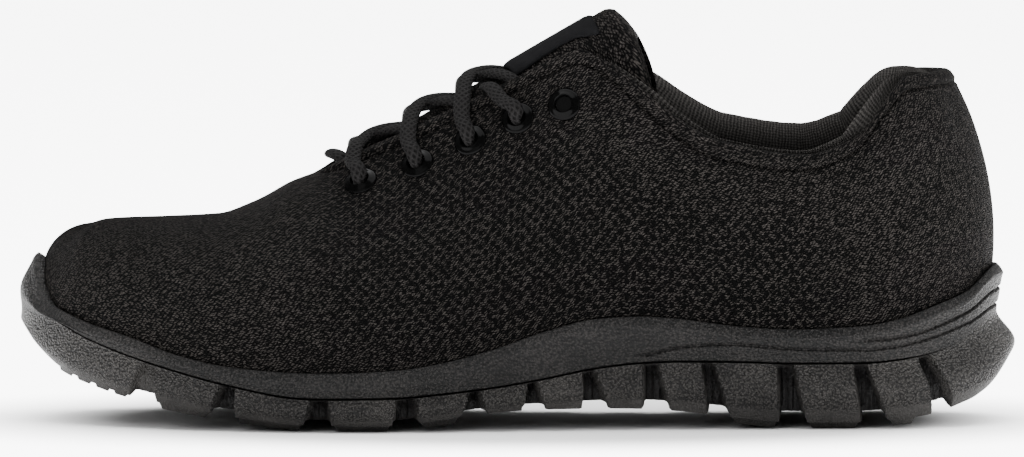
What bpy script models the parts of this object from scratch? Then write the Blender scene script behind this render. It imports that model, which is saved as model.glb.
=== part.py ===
"""A low black mesh lace-up work shoe for the left foot, built piece by piece.

The shoe stands on the floor at z = 0, with its toe towards -X and its outer side towards -Y.
Run it with blender --background --python part.py, or from Blender's text editor.
"""
import math
from collections import namedtuple

import bmesh
import bpy
import numpy as np
from mathutils import Matrix, Vector

# Driving sizes of the whole shoe, in metres
LENGTH = 0.285
BALL_WIDTH = 0.104
COLLAR_HEIGHT = 0.100
SOLE_HEIGHT = 0.032
TOE_ROUND = 0.060
HEEL_ROUND = 0.040

# Clearance kept between two pieces that touch on the real shoe, and the distance at which points are welded
GAP = 0.0003
WELD = 0.00001

# Sole
SIDE_FLARE = 0.0067
TREAD_DEPTH = 0.0065
GROOVE_DEPTH = 0.0040
NOTCH_DEPTH = 0.0045
CLEAT_HEIGHT = 0.0018
CLEAT_MARGIN = 0.0013
FOOT_ROUND = 0.0030
RIM_WIDTH = 0.0055
CUP_SLOPE = 0.0016
PARTING_BEVEL = 0.0008
PARTING_GAP = 0.0005
TRAY_GAP = 0.0005
RIB_GROOVE = 0.0010
RIB_GROOVE_SHARE = 0.07
RIB_START = 0.615
LOW_RIB_START = 0.835
RIB_FADE = 0.02
LIP_BEVEL = 0.0030
LIP_SLANT = 0.0019
LIP_EDGE = 0.0010
BUMPER_RISE = 0.0112
BUMPER_HALF_WIDTH = 0.020

# Upper
WALL = 0.0018
TUCK = 0.0020
TOE_SETBACK = 0.020
HEEL_SETBACK = 0.018
SETBACK_START = 0.70
THROAT_START = 0.295
THROAT_ROUND = 0.010
THROAT_STEPS = (0.0, 0.006, 0.018)
THROAT_SPREAD = 0.035
COLLAR_CORNER = 0.563
CORNER_SPREAD = 0.02
HEEL_TURN = 0.84
HEEL_OPENING_ROUND = 0.022
MEDIAL_RISE = 0.0040
OUTWARD_LEAN = 0.12

# Insole and tongue
INSOLE_THICKNESS = 0.0040
TONGUE_TOP = 0.645
TONGUE_UNDER = 0.040
TONGUE_GAP = 0.0018
TONGUE_CROWN_TOP = 0.598
TONGUE_THICKNESS = 0.0030
TONGUE_PADDING = 0.0080
TONGUE_FOOT_HEIGHT = 0.0690
TONGUE_HEIGHT = 0.1195
TONGUE_EMERGES = 0.080
TONGUE_SLOPE = 30.0
TONGUE_CURL = 0.030
TONGUE_HANDLE = 0.4
TONGUE_ARC = 4
LABEL_THICKNESS = 0.0008
LABEL_START = 0.507
LABEL_END = 0.585
LABEL_COLUMNS = 2

# Eyelets and laces
EYELET_RADIUS = 0.00415
EYELET_BORE = 0.0024
EYELET_BARREL = 0.0029
EYELET_FLANGE = 0.0009
LACE_RADIUS = 0.0023
LACE_CLEAR = 0.0006
LACE_LIFT = 0.0036
LACE_BAR = 0.322

# Plan of the sole: shares of LENGTH from the toe, and of BALL_WIDTH
Plan = namedtuple("Plan", "along centre half")
PLAN = (
    Plan(0.000, 0.086, 0.404),
    Plan(0.050, 0.079, 0.419),
    Plan(0.105, 0.060, 0.418),
    Plan(0.175, 0.034, 0.443),
    Plan(0.245, 0.014, 0.480),
    Plan(0.300, 0.002, 0.498),
    Plan(0.340, -0.012, 0.490),
    Plan(0.385, -0.028, 0.467),
    Plan(0.456, -0.048, 0.413),
    Plan(0.544, -0.058, 0.361),
    Plan(0.630, -0.050, 0.338),
    Plan(0.720, -0.031, 0.344),
    Plan(0.807, -0.012, 0.358),
    Plan(0.877, 0.000, 0.361),
    Plan(1.000, 0.008, 0.356),
)

# Side of the sole: heights are shares of SOLE_HEIGHT, insets of SIDE_FLARE, ribs of the band's own height,
# and the rim on which the midsole sits of RIM_WIDTH
Sole = namedtuple("Sole", "along foot parting floor lip parting_inset upper_inset foot_inset rib low_rib rim")
SOLE = (
    Sole(0.000, 0.844, 0.969, 0.930, 1.156, 0.03, 1.00, 0.54, 0.30, 0.60, 0.55),
    Sole(0.014, 0.638, 0.956, 0.910, 1.125, 0.06, 0.66, 0.50, 0.30, 0.60, 0.55),
    Sole(0.032, 0.500, 0.925, 0.870, 1.031, 0.10, 0.56, 0.46, 0.30, 0.60, 0.55),
    Sole(0.067, 0.381, 0.781, 0.775, 0.913, 0.12, 0.56, 0.42, 0.30, 0.60, 0.55),
    Sole(0.109, 0.278, 0.644, 0.670, 0.806, 0.14, 0.58, 0.36, 0.30, 0.60, 0.62),
    Sole(0.158, 0.200, 0.519, 0.585, 0.659, 0.15, 0.61, 0.33, 0.30, 0.60, 0.86),
    Sole(0.211, 0.125, 0.406, 0.490, 0.563, 0.16, 0.65, 0.30, 0.30, 0.60, 1.00),
    Sole(0.281, 0.063, 0.303, 0.412, 0.519, 0.17, 0.68, 0.30, 0.30, 0.60, 1.00),
    Sole(0.309, 0.05625, 0.297, 0.400, 0.516, 0.18, 0.69, 0.30, 0.30, 0.60, 1.00),
    Sole(0.379, 0.05625, 0.306, 0.412, 0.544, 0.21, 0.70, 0.30, 0.30, 0.60, 1.00),
    Sole(0.421, 0.097, 0.334, 0.450, 0.597, 0.24, 0.71, 0.30, 0.30, 0.60, 1.00),
    Sole(0.470, 0.156, 0.381, 0.512, 0.703, 0.27, 0.72, 0.30, 0.28, 0.60, 1.00),
    Sole(0.526, 0.184, 0.459, 0.588, 0.869, 0.31, 0.72, 0.30, 0.22, 0.60, 1.00),
    Sole(0.579, 0.188, 0.550, 0.656, 0.981, 0.34, 0.72, 0.30, 0.14, 0.60, 1.00),
    Sole(0.625, 0.181, 0.594, 0.697, 1.000, 0.36, 0.72, 0.30, 0.14, 0.60, 1.00),
    Sole(0.660, 0.161, 0.605, 0.715, 0.978, 0.38, 0.73, 0.30, 0.36, 0.70, 1.00),
    Sole(0.725, 0.091, 0.598, 0.728, 0.905, 0.42, 0.75, 0.30, 0.66, 0.86, 1.00),
    Sole(0.775, 0.05625, 0.583, 0.728, 0.881, 0.46, 0.78, 0.30, 0.56, 0.86, 1.00),
    Sole(0.845, 0.05625, 0.585, 0.725, 0.908, 0.51, 0.83, 0.31, 0.44, 0.84, 1.00),
    Sole(0.877, 0.075, 0.606, 0.755, 0.956, 0.54, 0.87, 0.36, 0.40, 0.75, 1.00),
    Sole(0.919, 0.119, 0.666, 0.790, 1.081, 0.60, 0.92, 0.44, 0.39, 0.67, 1.00),
    Sole(0.951, 0.194, 0.756, 0.800, 1.194, 0.68, 0.96, 0.58, 0.42, 0.72, 0.62),
    Sole(0.979, 0.272, 0.922, 0.810, 1.390, 0.76, 0.99, 0.78, 0.30, 0.66, 0.34),
    Sole(1.000, 0.531, 1.000, 0.820, 1.422, 0.79, 1.00, 0.87, 0.25, 0.66, 0.34),
)

# Grooves across the tread, toe first: shares of LENGTH at the parting line and at the foot of the blocks,
# and the side notch as a share of NOTCH_DEPTH
Groove = namedtuple("Groove", "fore aft foot_fore foot_aft notch")
GROOVES = (
    Groove(0.1228, 0.1368, 0.1090, 0.1350, 0.60),
    Groove(0.2018, 0.2158, 0.1916, 0.2158, 1.00),
    Groove(0.2933, 0.3105, 0.2860, 0.3133, 1.00),
    Groove(0.3800, 0.3993, 0.3765, 0.4018, 1.00),
    Groove(0.4533, 0.4635, 0.4450, 0.4695, 1.00),
    Groove(0.5116, 0.5200, 0.5060, 0.5288, 1.00),
    Groove(0.5670, 0.5775, 0.5653, 0.5912, 1.00),
    Groove(0.6263, 0.6404, 0.6263, 0.6523, 1.00),
    Groove(0.6839, 0.6961, 0.6909, 0.7120, 1.00),
    Groove(0.7590, 0.7761, 0.7621, 0.7884, 1.00),
    Groove(0.8354, 0.8495, 0.8442, 0.8702, 1.00),
    Groove(0.9053, 0.9193, 0.9190, 0.9400, 1.00),
)
GROOVE_DRAFT = 0.0028
COLUMN_SPACE = 0.006

# Side of a tread block, as shares of the way down: its shoulder, the fullest line and the top of the chamfer
SHOULDER = 0.22
FULLEST = 0.48
CHAMFER = 0.85
CHAMFER_INSET = 0.40

# Stretch under the arch that has no raised pads, and the smallest face that carries one, in square metres
ARCH_START = 0.46
ARCH_END = 0.69
PAD_AREA = 0.00004

# Top edge of the upper: height shares of COLLAR_HEIGHT, centre and half of BALL_WIDTH, angle in degrees
# from level, and the wall there as a share of COLLAR_PADDING
COLLAR_PADDING = 0.0065
PADDING_START = 0.55
PADDING_SPAN = 0.35
Edge = namedtuple("Edge", "along height centre half angle padding medial")
EDGE = (
    Edge(0.070, 0.558, 0.070, 0.062, 0.0, 0.28, 0.0),
    Edge(0.095, 0.572, 0.068, 0.062, 0.0, 0.28, 0.0),
    Edge(0.150, 0.578, 0.062, 0.062, 0.0, 0.28, 0.0),
    Edge(0.200, 0.586, 0.055, 0.062, 0.0, 0.28, 0.0),
    Edge(0.232, 0.618, 0.048, 0.062, 0.0, 0.28, 0.0),
    Edge(0.267, 0.673, 0.041, 0.062, 0.0, 0.28, 0.0),
    Edge(0.295, 0.703, 0.034, 0.064, 4.0, 0.30, 0.0),
    Edge(0.333, 0.758, 0.023, 0.088, 42.0, 0.32, 0.0),
    Edge(0.386, 0.826, 0.010, 0.110, 54.0, 0.32, 0.0),
    Edge(0.442, 0.904, -0.002, 0.133, 60.0, 0.32, 0.0),
    Edge(0.498, 0.984, -0.011, 0.156, 65.0, 0.32, 0.0),
    Edge(0.547, 1.054, -0.018, 0.178, 70.0, 0.34, 0.0),
    Edge(0.563, 1.066, -0.020, 0.187, 72.0, 0.40, 0.05),
    Edge(0.579, 1.046, -0.020, 0.200, 75.0, 0.55, 0.15),
    Edge(0.611, 0.984, -0.019, 0.227, 78.0, 0.85, 0.50),
    Edge(0.649, 0.894, -0.017, 0.262, 80.0, 1.00, 0.90),
    Edge(0.702, 0.822, -0.014, 0.300, 82.0, 1.00, 1.00),
    Edge(0.786, 0.783, -0.005, 0.317, 80.0, 1.00, 1.00),
    Edge(0.835, 0.816, 0.000, 0.294, 78.0, 1.00, 0.90),
    Edge(0.867, 0.922, 0.003, 0.257, 75.0, 1.00, 0.50),
    Edge(0.891, 0.988, 0.005, 0.216, 72.0, 1.00, 0.0),
    Edge(0.937, 1.000, 0.008, 0.173, 65.0, 1.00, 0.0),
)

# Fullness of the upper: the pull of its side and of its top on each cross-section
Fullness = namedtuple("Fullness", "along side top")
FULLNESS = (
    Fullness(0.00, 0.22, 0.50),
    Fullness(0.07, 0.42, 0.48),
    Fullness(0.21, 0.48, 0.45),
    Fullness(0.35, 0.42, 0.38),
    Fullness(0.53, 0.38, 0.33),
    Fullness(0.70, 0.36, 0.33),
    Fullness(1.00, 0.36, 0.35),
)

# Eyelets on each side: share of LENGTH, and the way down from the edge as a share of EYELET_REACH
EYELET_REACH = 0.0120
Eyelet = namedtuple("Eyelet", "along reach")
EYELETS = (
    Eyelet(0.343, 0.95),
    Eyelet(0.397, 1.00),
    Eyelet(0.450, 1.00),
    Eyelet(0.498, 1.00),
    Eyelet(0.545, 1.20),
)
LACED = 4

# Finishes: sRGB colour as hex, roughness, metallic
FINISHES = {
    "mesh": ("1b1a19", 0.85, 0.0),
    "foam": ("3b3a39", 0.62, 0.0),
    "rubber": ("343332", 0.68, 0.0),
    "lining": ("201f1e", 0.90, 0.0),
    "label": ("2c2c2e", 0.55, 0.0),
    "enamel": ("0e0e0f", 0.22, 0.6),
    "braid": ("1c1b1b", 0.80, 0.0),
}

OUTER, INNER = -1, 1


def smooth(table, column, along):
    """Read one column of a table at shares of the length, on cubics that never overshoot the rows."""
    rows = np.array([row.along for row in table])
    values = np.array([getattr(row, column) for row in table])
    steps = np.diff(rows)
    slopes = np.diff(values) / steps
    tangents = np.zeros_like(values)
    tangents[0] = slopes[0]
    tangents[-1] = slopes[-1]
    product = slopes[:-1] * slopes[1:]
    total = slopes[:-1] + slopes[1:]
    turning = product <= 0
    tangents[1:-1] = np.where(turning, 0.0, 2 * product / np.where(turning, 1.0, total))
    along = np.clip(np.asarray(along, dtype=float), rows[0], rows[-1])
    index = np.clip(np.searchsorted(rows, along, side="right") - 1, 0, len(steps) - 1)
    step = steps[index]
    u = (along - rows[index]) / step
    return (
        values[index] * (1 + 2 * u) * (1 - u) ** 2
        + tangents[index] * step * u * (1 - u) ** 2
        + values[index + 1] * u * u * (3 - 2 * u)
        + tangents[index + 1] * step * u * u * (u - 1)
    )


def ease(value):
    """Smooth step from 0 to 1."""
    value = np.clip(value, 0.0, 1.0)
    return value * value * (3 - 2 * value)


def round_end(distance, radius):
    """Quarter of an ellipse: 0 at the end, 1 from one radius on."""
    return np.sqrt(1 - (1 - np.clip(distance / radius, 0.0, 1.0)) ** 2)


def outline(angle):
    """Sole's widest outline from above; the angle runs from the toe, along the outer side, to the heel."""
    share = (1 - np.cos(angle)) / 2
    ends = round_end(share * LENGTH, TOE_ROUND) * round_end((1 - share) * LENGTH, HEEL_ROUND)
    side = -np.sign(np.sin(angle))
    centre = smooth(PLAN, "centre", share)
    half = smooth(PLAN, "half", share)
    return np.stack([(share - 0.5) * LENGTH, (centre + side * ends * half) * BALL_WIDTH], axis=-1)


def inset_point(share, side, inset):
    """Points that lie inset from the outline, on one side, at shares of the length."""
    angle = np.arccos(np.clip(1 - 2 * np.asarray(share, dtype=float), -1, 1))
    angle = angle if side == OUTER else 2 * math.pi - angle
    nudge = 0.0005
    tangent = outline(angle + nudge) - outline(angle - nudge)
    tangent /= np.linalg.norm(tangent, axis=-1, keepdims=True)
    inward = np.stack([-tangent[..., 1], tangent[..., 0]], axis=-1)
    return outline(angle) + inward * np.asarray(inset)[..., None], inward


def share_of(x):
    """Share of the length from the toe at a place along X."""
    return x / LENGTH + 0.5


def sole_height(column, x):
    """Height of one of the sole's lines above the floor."""
    return smooth(SOLE, column, share_of(x)) * SOLE_HEIGHT


def lip_height(x, y):
    """Top of the midsole's lip, with the bumper that climbs over the toe."""
    toe_y = PLAN[0].centre * BALL_WIDTH
    off = np.clip(np.abs(y - toe_y) / BUMPER_HALF_WIDTH, 0, 1)
    front = share_of(x) < TOE_SETBACK / LENGTH
    return sole_height("lip", x) + np.where(front, BUMPER_RISE * (1 - off ** 2) ** 2, 0.0)


def raised(flat, height):
    """Join points in plan and their heights."""
    return np.concatenate([flat, np.asarray(height)[..., None]], axis=-1)


def spread(start, end, count, bias=0.0):
    """Even shares from start up to end, drawn towards the start (bias 1) or the end (bias -1)."""
    u = np.arange(count) / count
    if bias > 0:
        u = 1 - np.cos(u * math.pi / 2)
    elif bias < 0:
        u = np.sin(u * math.pi / 2)
    return start + (end - start) * u


def body_stations():
    """Shares of the length at which upper, midsole and insole have their sections."""
    return np.concatenate([
        spread(0.0, THROAT_START, 12, bias=1),
        THROAT_START + np.array(THROAT_STEPS),
        spread(THROAT_START + THROAT_SPREAD, COLLAR_CORNER - CORNER_SPREAD, 7),
        spread(COLLAR_CORNER - CORNER_SPREAD, COLLAR_CORNER + CORNER_SPREAD, 3),
        spread(COLLAR_CORNER + CORNER_SPREAD, HEEL_TURN, 7),
        spread(HEEL_TURN, 1.0, 10, bias=-1),
        [1.0],
    ])


def loft(rows_outer, rows_inner):
    """Vertices and faces of a closed form from sections on both sides, which share their ends."""
    stations, points = rows_outer.shape[:2]
    vertices = np.concatenate([rows_outer.reshape(-1, 3), rows_inner.reshape(-1, 3)])
    faces = []
    for half, flip in ((0, False), (stations * points, True)):
        for i in range(stations - 1):
            for j in range(points - 1):
                a = half + i * points + j
                quad = (a, a + points, a + points + 1, a + 1)
                faces.append(quad[::-1] if flip else quad)
    return vertices, faces


def material(name):
    """One Principled material for each finish."""
    found = bpy.data.materials.get(name)
    if found:
        return found
    colour, roughness, metallic = FINISHES[name]
    made = bpy.data.materials.new(name)
    made.use_nodes = True
    shader = made.node_tree.nodes["Principled BSDF"]
    channels = [int(colour[i:i + 2], 16) / 255 for i in (0, 2, 4)]
    linear = [c / 12.92 if c <= 0.04045 else ((c + 0.055) / 1.055) ** 2.4 for c in channels]
    shader.inputs["Base Color"].default_value = (*linear, 1.0)
    shader.inputs["Roughness"].default_value = roughness
    shader.inputs["Metallic"].default_value = metallic
    made.diffuse_color = (*linear, 1.0)
    return made


def add_object(name, mesh, finish, collection):
    """Put a mesh in the scene as one named piece."""
    mesh.materials.clear()
    mesh.materials.append(material(finish))
    piece = bpy.data.objects.new(name, mesh)
    collection.objects.link(piece)
    return piece


def closed_mesh(name, vertices, faces):
    """Mesh with its doubles merged and its faces pointing out."""
    form = bmesh.new()
    corners = [form.verts.new(Vector(map(float, v))) for v in vertices]
    for face in faces:
        form.faces.new([corners[i] for i in face])
    bmesh.ops.remove_doubles(form, verts=form.verts, dist=WELD)
    bmesh.ops.dissolve_degenerate(form, dist=WELD, edges=form.edges)
    bmesh.ops.recalc_face_normals(form, faces=form.faces)
    mesh = bpy.data.meshes.new(name)
    form.to_mesh(mesh)
    form.free()
    return mesh


def between(a, b, share):
    """Point or points part of the way from a to b."""
    return a + (b - a) * share


def midsole_section(share, side):
    """Midsole's section: from under the middle, out and up the side, over the lip and down into the tray."""
    column = {name: smooth(SOLE, name, share) for name in Sole._fields}
    inset_upper = column["upper_inset"] * SIDE_FLARE
    inset_parting = column["parting_inset"] * SIDE_FLARE

    def place(inset, height_of):
        flat, _ = inset_point(share, side, inset)
        return raised(flat, height_of(flat[..., 0], flat[..., 1]))

    def parting(x, y):
        return sole_height("parting", x)

    def cup(x, y):
        return cup_height(x) + PARTING_GAP

    inset_lip = inset_upper - TRAY_GAP - LIP_EDGE
    inset_bevel = inset_lip - LIP_SLANT
    lip_outer = place(inset_lip, lip_height)
    bevel = place(inset_bevel, lambda x, y: lip_height(x, y) - LIP_BEVEL)
    foot = place(inset_parting, lambda x, y: parting(x, y) + PARTING_BEVEL)
    edge = place(inset_parting + PARTING_BEVEL, parting)
    inset_rim = inset_parting + column["rim"] * RIM_WIDTH + PARTING_GAP
    rim = place(inset_rim, parting)
    base = place(inset_rim + CUP_SLOPE, cup)
    wall = []
    for name, start in (("rib", RIB_START), ("low_rib", LOW_RIB_START)):
        depth = RIB_GROOVE * ease((share - start) / RIB_FADE)
        for offset, cut in ((-RIB_GROOVE_SHARE, 0.0), (0.0, 1.0), (RIB_GROOVE_SHARE, 0.0)):
            k = column[name] + offset
            inset = inset_parting + (inset_bevel - inset_parting) * k ** 2 + depth * cut
            flat, _ = inset_point(share, side, inset)
            wall.append(raised(flat, between(foot[..., 2], bevel[..., 2], k)))
    tray_top = place(inset_upper - TRAY_GAP, lip_height)
    tray_foot = place(inset_upper + TUCK - TRAY_GAP, lambda x, y: sole_height("floor", x))
    return [base, rim, edge, foot, *wall, bevel, lip_outer, tray_top, tray_foot]


def cup_height(x):
    """Upper side of the outsole inside its raised rim."""
    parting = sole_height("parting", x) - PARTING_GAP
    return np.minimum(parting, sole_height("foot", x) + TREAD_DEPTH)


def closed_sections(outer, inner):
    """Close the sections of both sides on the middle line, above and below."""
    ends = []
    for first, second in ((outer[0], inner[0]), (outer[-1], inner[-1])):
        ends.append((first + second) / 2)
    rows = []
    for points in (outer, inner):
        rows.append(np.stack([ends[0], *points, ends[1]], axis=1))
    return rows


def build_midsole(collection):
    """Midsole: a tray with a thin bevelled lip, two ribbed grooves at the heel and a bumper at the toe."""
    share = body_stations()
    outer, inner = (midsole_section(share, side) for side in (OUTER, INNER))
    vertices, faces = loft(*closed_sections(outer, inner))
    return add_object("midsole", closed_mesh("midsole", vertices, faces), "foam", collection)


def outsole_columns():
    """Columns of the outsole: share at the parting line, share at the foot, and share of the notch's depth."""
    body = body_stations()
    columns = []
    for share in body[body < GROOVES[0].foot_fore - COLUMN_SPACE]:
        columns.append((share, share, 0.0))
    previous = None
    for groove in GROOVES:
        draft = GROOVE_DRAFT
        if previous:
            middle = (previous.aft + groove.fore) / 2
            foot_middle = (previous.foot_aft + groove.foot_fore) / 2
            columns.append((middle, foot_middle, 0.0))
        columns.append((groove.fore, groove.foot_fore, 0.0))
        columns.append((groove.fore + draft, groove.foot_fore + draft, groove.notch))
        columns.append((groove.aft - draft, groove.foot_aft - draft, groove.notch))
        columns.append((groove.aft, groove.foot_aft, 0.0))
        previous = groove
    for share in body[body > previous.aft + COLUMN_SPACE]:
        foot = 1 - (1 - share) * (1 - previous.foot_aft) / (1 - previous.aft)
        columns.append((share, foot, 0.0))
    return columns


def outsole_section(columns, side):
    """Outsole's section: from its cup, over the rim, down the side of a block or notch, and in underneath."""
    top = np.array([column[0] for column in columns])
    low = np.array([column[1] for column in columns])
    cut = np.array([column[2] for column in columns])
    notch = cut * NOTCH_DEPTH

    def place(down, inset_of):
        share = between(top, low, down)
        flat, _ = inset_point(share, side, inset_of(share) + notch)
        return flat

    def parting_inset(share):
        return smooth(SOLE, "parting_inset", share) * SIDE_FLARE

    def foot_inset(share):
        return smooth(SOLE, "foot_inset", share) * SIDE_FLARE

    def rim_inset(share):
        return parting_inset(share) + smooth(SOLE, "rim", share) * RIM_WIDTH

    edge = place(0.0, parting_inset)
    edge = raised(edge, sole_height("parting", edge[..., 0]) - PARTING_GAP)
    rim = place(0.0, lambda share: rim_inset(share) - notch)
    rim = raised(rim, sole_height("parting", rim[..., 0]) - PARTING_GAP)
    cup = place(0.0, lambda share: rim_inset(share) + CUP_SLOPE - notch)
    cup = raised(cup, cup_height(cup[..., 0]))
    foot = place(1.0, foot_inset)
    foot = raised(foot, sole_height("foot", foot[..., 0]) + np.where(cut > 0, GROOVE_DEPTH, 0.0))
    shoulder = place(SHOULDER, lambda share: parting_inset(share) * SHOULDER)
    shoulder = raised(shoulder, between(edge, foot, SHOULDER)[..., 2])
    fullest = place(FULLEST, lambda share: 0.0 * share)
    fullest = raised(fullest, between(edge, foot, FULLEST)[..., 2])
    rise = np.minimum(FOOT_ROUND, (edge[..., 2] - foot[..., 2]) / 3)
    chamfer = raised(place(CHAMFER, lambda share: foot_inset(share) * CHAMFER_INSET), foot[..., 2] + rise)
    return [cup, rim, edge, shoulder, fullest, chamfer, foot]


def build_outsole(collection):
    """Outsole: thirteen blocks parted by grooves and side notches, with raised pads under each block."""
    columns = outsole_columns()
    outer, inner = (outsole_section(columns, side) for side in (OUTER, INNER))
    middle = (outer[-1] + inner[-1]) / 2
    for points in (outer, inner):
        points.append(between(points[-1], middle, 0.5))
    vertices, faces = loft(*closed_sections(outer, inner))
    form = bmesh.new()
    corners = [form.verts.new(Vector(map(float, v))) for v in vertices]
    underside = len(outer)
    points = underside + 2
    blocks = []
    for number, face in enumerate(faces):
        made = form.faces.new([corners[i] for i in face])
        station = number // (points - 1) % (len(columns) - 1)
        row = number % (points - 1)
        solid = not (columns[station][2] or columns[station + 1][2])
        bare = ARCH_START < columns[station][0] < ARCH_END
        if solid and not bare and row >= underside - 1:
            blocks.append(made)
    bmesh.ops.remove_doubles(form, verts=form.verts, dist=WELD)
    blocks = [face for face in blocks if face.is_valid and face.calc_area() > PAD_AREA and len(face.verts) == 4]
    bmesh.ops.recalc_face_normals(form, faces=form.faces)
    bmesh.ops.inset_individual(form, faces=blocks, thickness=CLEAT_MARGIN, depth=CLEAT_HEIGHT)
    bmesh.ops.dissolve_degenerate(form, dist=WELD, edges=form.edges)
    mesh = bpy.data.meshes.new("outsole")
    form.to_mesh(mesh)
    form.free()
    return add_object("outsole", mesh, "rubber", collection)


def build_insole(collection):
    """Insole: a flat bed inside the upper's walls, on the tray's floor."""
    share = body_stations()
    rows = []
    for side in (OUTER, INNER):
        inset = smooth(SOLE, "upper_inset", share) * SIDE_FLARE + TUCK + WALL + 2 * GAP
        flat, _ = inset_point(share, side, inset)
        floor = sole_height("floor", flat[..., 0]) + GAP
        rows.append([raised(flat, floor), raised(flat, floor + INSOLE_THICKNESS)])
    vertices, faces = loft(*closed_sections(*rows))
    return add_object("insole", closed_mesh("insole", vertices, faces), "lining", collection)


def edge_share(share):
    """Where the top edge lies along the shoe, for a section that starts at a share of the sole."""
    toe = np.clip(1 - share / THROAT_START, 0, 1) ** 2 * TOE_SETBACK
    heel = np.clip((share - SETBACK_START) / (1 - SETBACK_START), 0, 1) ** 2 * HEEL_SETBACK
    return share + (toe - heel) / LENGTH


def edge_point(share, side):
    """Top edge of the upper: the ridge before the throat, then the eyestay's edge and the topline."""
    along = edge_share(share)
    opening_end = 1 - HEEL_SETBACK / LENGTH
    throat = round_end(np.clip(along - THROAT_START, 0, None) * LENGTH, THROAT_ROUND)
    heel = round_end(np.clip(opening_end - along, 0, None) * LENGTH, HEEL_OPENING_ROUND)
    half = smooth(EDGE, "half", along) * throat * heel * BALL_WIDTH
    y = smooth(EDGE, "centre", along) * BALL_WIDTH + side * half
    height = smooth(EDGE, "height", along) * COLLAR_HEIGHT
    if side == INNER:
        height = height + smooth(EDGE, "medial", along) * MEDIAL_RISE
    return np.stack([(along - 0.5) * LENGTH, y, height], axis=-1)


def unit(vectors):
    """Vectors of length one."""
    return vectors / np.linalg.norm(vectors, axis=-1, keepdims=True)


def upper_outside(share, side, steps):
    """Outer face of the upper on one side: a straight tuck into the tray, then a cubic curve to the edge."""
    share = np.asarray(share, dtype=float)
    inset = smooth(SOLE, "upper_inset", share) * SIDE_FLARE
    flat, inward = inset_point(share, side, inset + TUCK)
    feather = raised(flat, sole_height("floor", flat[..., 0]) + GAP)
    flat, inward = inset_point(share, side, inset)
    start = raised(flat, lip_height(flat[..., 0], flat[..., 1]) + TRAY_GAP)
    end = edge_point(share, side)
    nudge = 0.002
    slope = edge_point(share + nudge, side) - edge_point(share - nudge, side)
    ridge_slope = slope[..., 2] / np.where(np.abs(slope[..., 0]) < 1e-9, 1.0, slope[..., 0])
    angle = np.radians(smooth(EDGE, "angle", edge_share(share)))
    before_throat = edge_share(share) <= THROAT_START
    level = raised(inward, np.where(before_throat, inward[..., 0] * ridge_slope, 0.0))
    up = np.array([0.0, 0.0, 1.0])
    arrival = unit(level * np.cos(angle)[..., None] + up * np.sin(angle)[..., None])
    departure = unit(up - OUTWARD_LEAN * raised(inward, np.zeros(share.shape)))
    span = np.linalg.norm(end - start, axis=-1)[..., None]
    first = start + departure * span * smooth(FULLNESS, "side", share)[..., None]
    last = end - arrival * span * smooth(FULLNESS, "top", share)[..., None]
    u = np.asarray(steps)[:, None, None]
    curve = (1 - u) ** 3 * start + 3 * u * (1 - u) ** 2 * first + 3 * u * u * (1 - u) * last + u ** 3 * end
    curve = np.moveaxis(curve, 0, 1)
    return np.concatenate([feather[:, None], curve], axis=1), arrival


def facing(grid, side):
    """Outward normals of a side's face, from its neighbours along and up."""
    along = np.gradient(grid, axis=0)
    up = np.gradient(grid, axis=1)
    normal = np.cross(along, up) if side == OUTER else np.cross(up, along)
    length = np.linalg.norm(normal, axis=-1, keepdims=True)
    return normal / np.where(length < 1e-12, 1.0, length)


UPPER_STEPS = 8


def upper_faces(share):
    """Outer and inner faces of the upper on both sides, with the wall thickened into the padded collar."""
    steps = np.linspace(0, 1, UPPER_STEPS)
    outside, inside, arrivals = [], [], []
    for side in (OUTER, INNER):
        grid, arrival = upper_outside(share, side, steps)
        padding = smooth(EDGE, "padding", edge_share(share))[:, None] * COLLAR_PADDING
        height = np.concatenate([[0.0], steps])[None, :]
        wall = between(WALL, np.maximum(padding, WALL), ease((height - PADDING_START) / PADDING_SPAN))
        shell = grid - facing(grid, side) * wall[..., None]
        shell[:, 0, 2] = grid[:, 0, 2]
        outside.append(grid)
        inside.append(shell)
        arrivals.append(arrival)
    ridge = edge_share(share) <= THROAT_START + 1e-9
    for row in (0, -1):
        inside[0][row] = inside[1][row] = (inside[0][row] + inside[1][row]) / 2
    inside[0][ridge, -1] = inside[1][ridge, -1] = (inside[0][ridge, -1] + inside[1][ridge, -1]) / 2
    return outside, inside, arrivals, ridge


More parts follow.
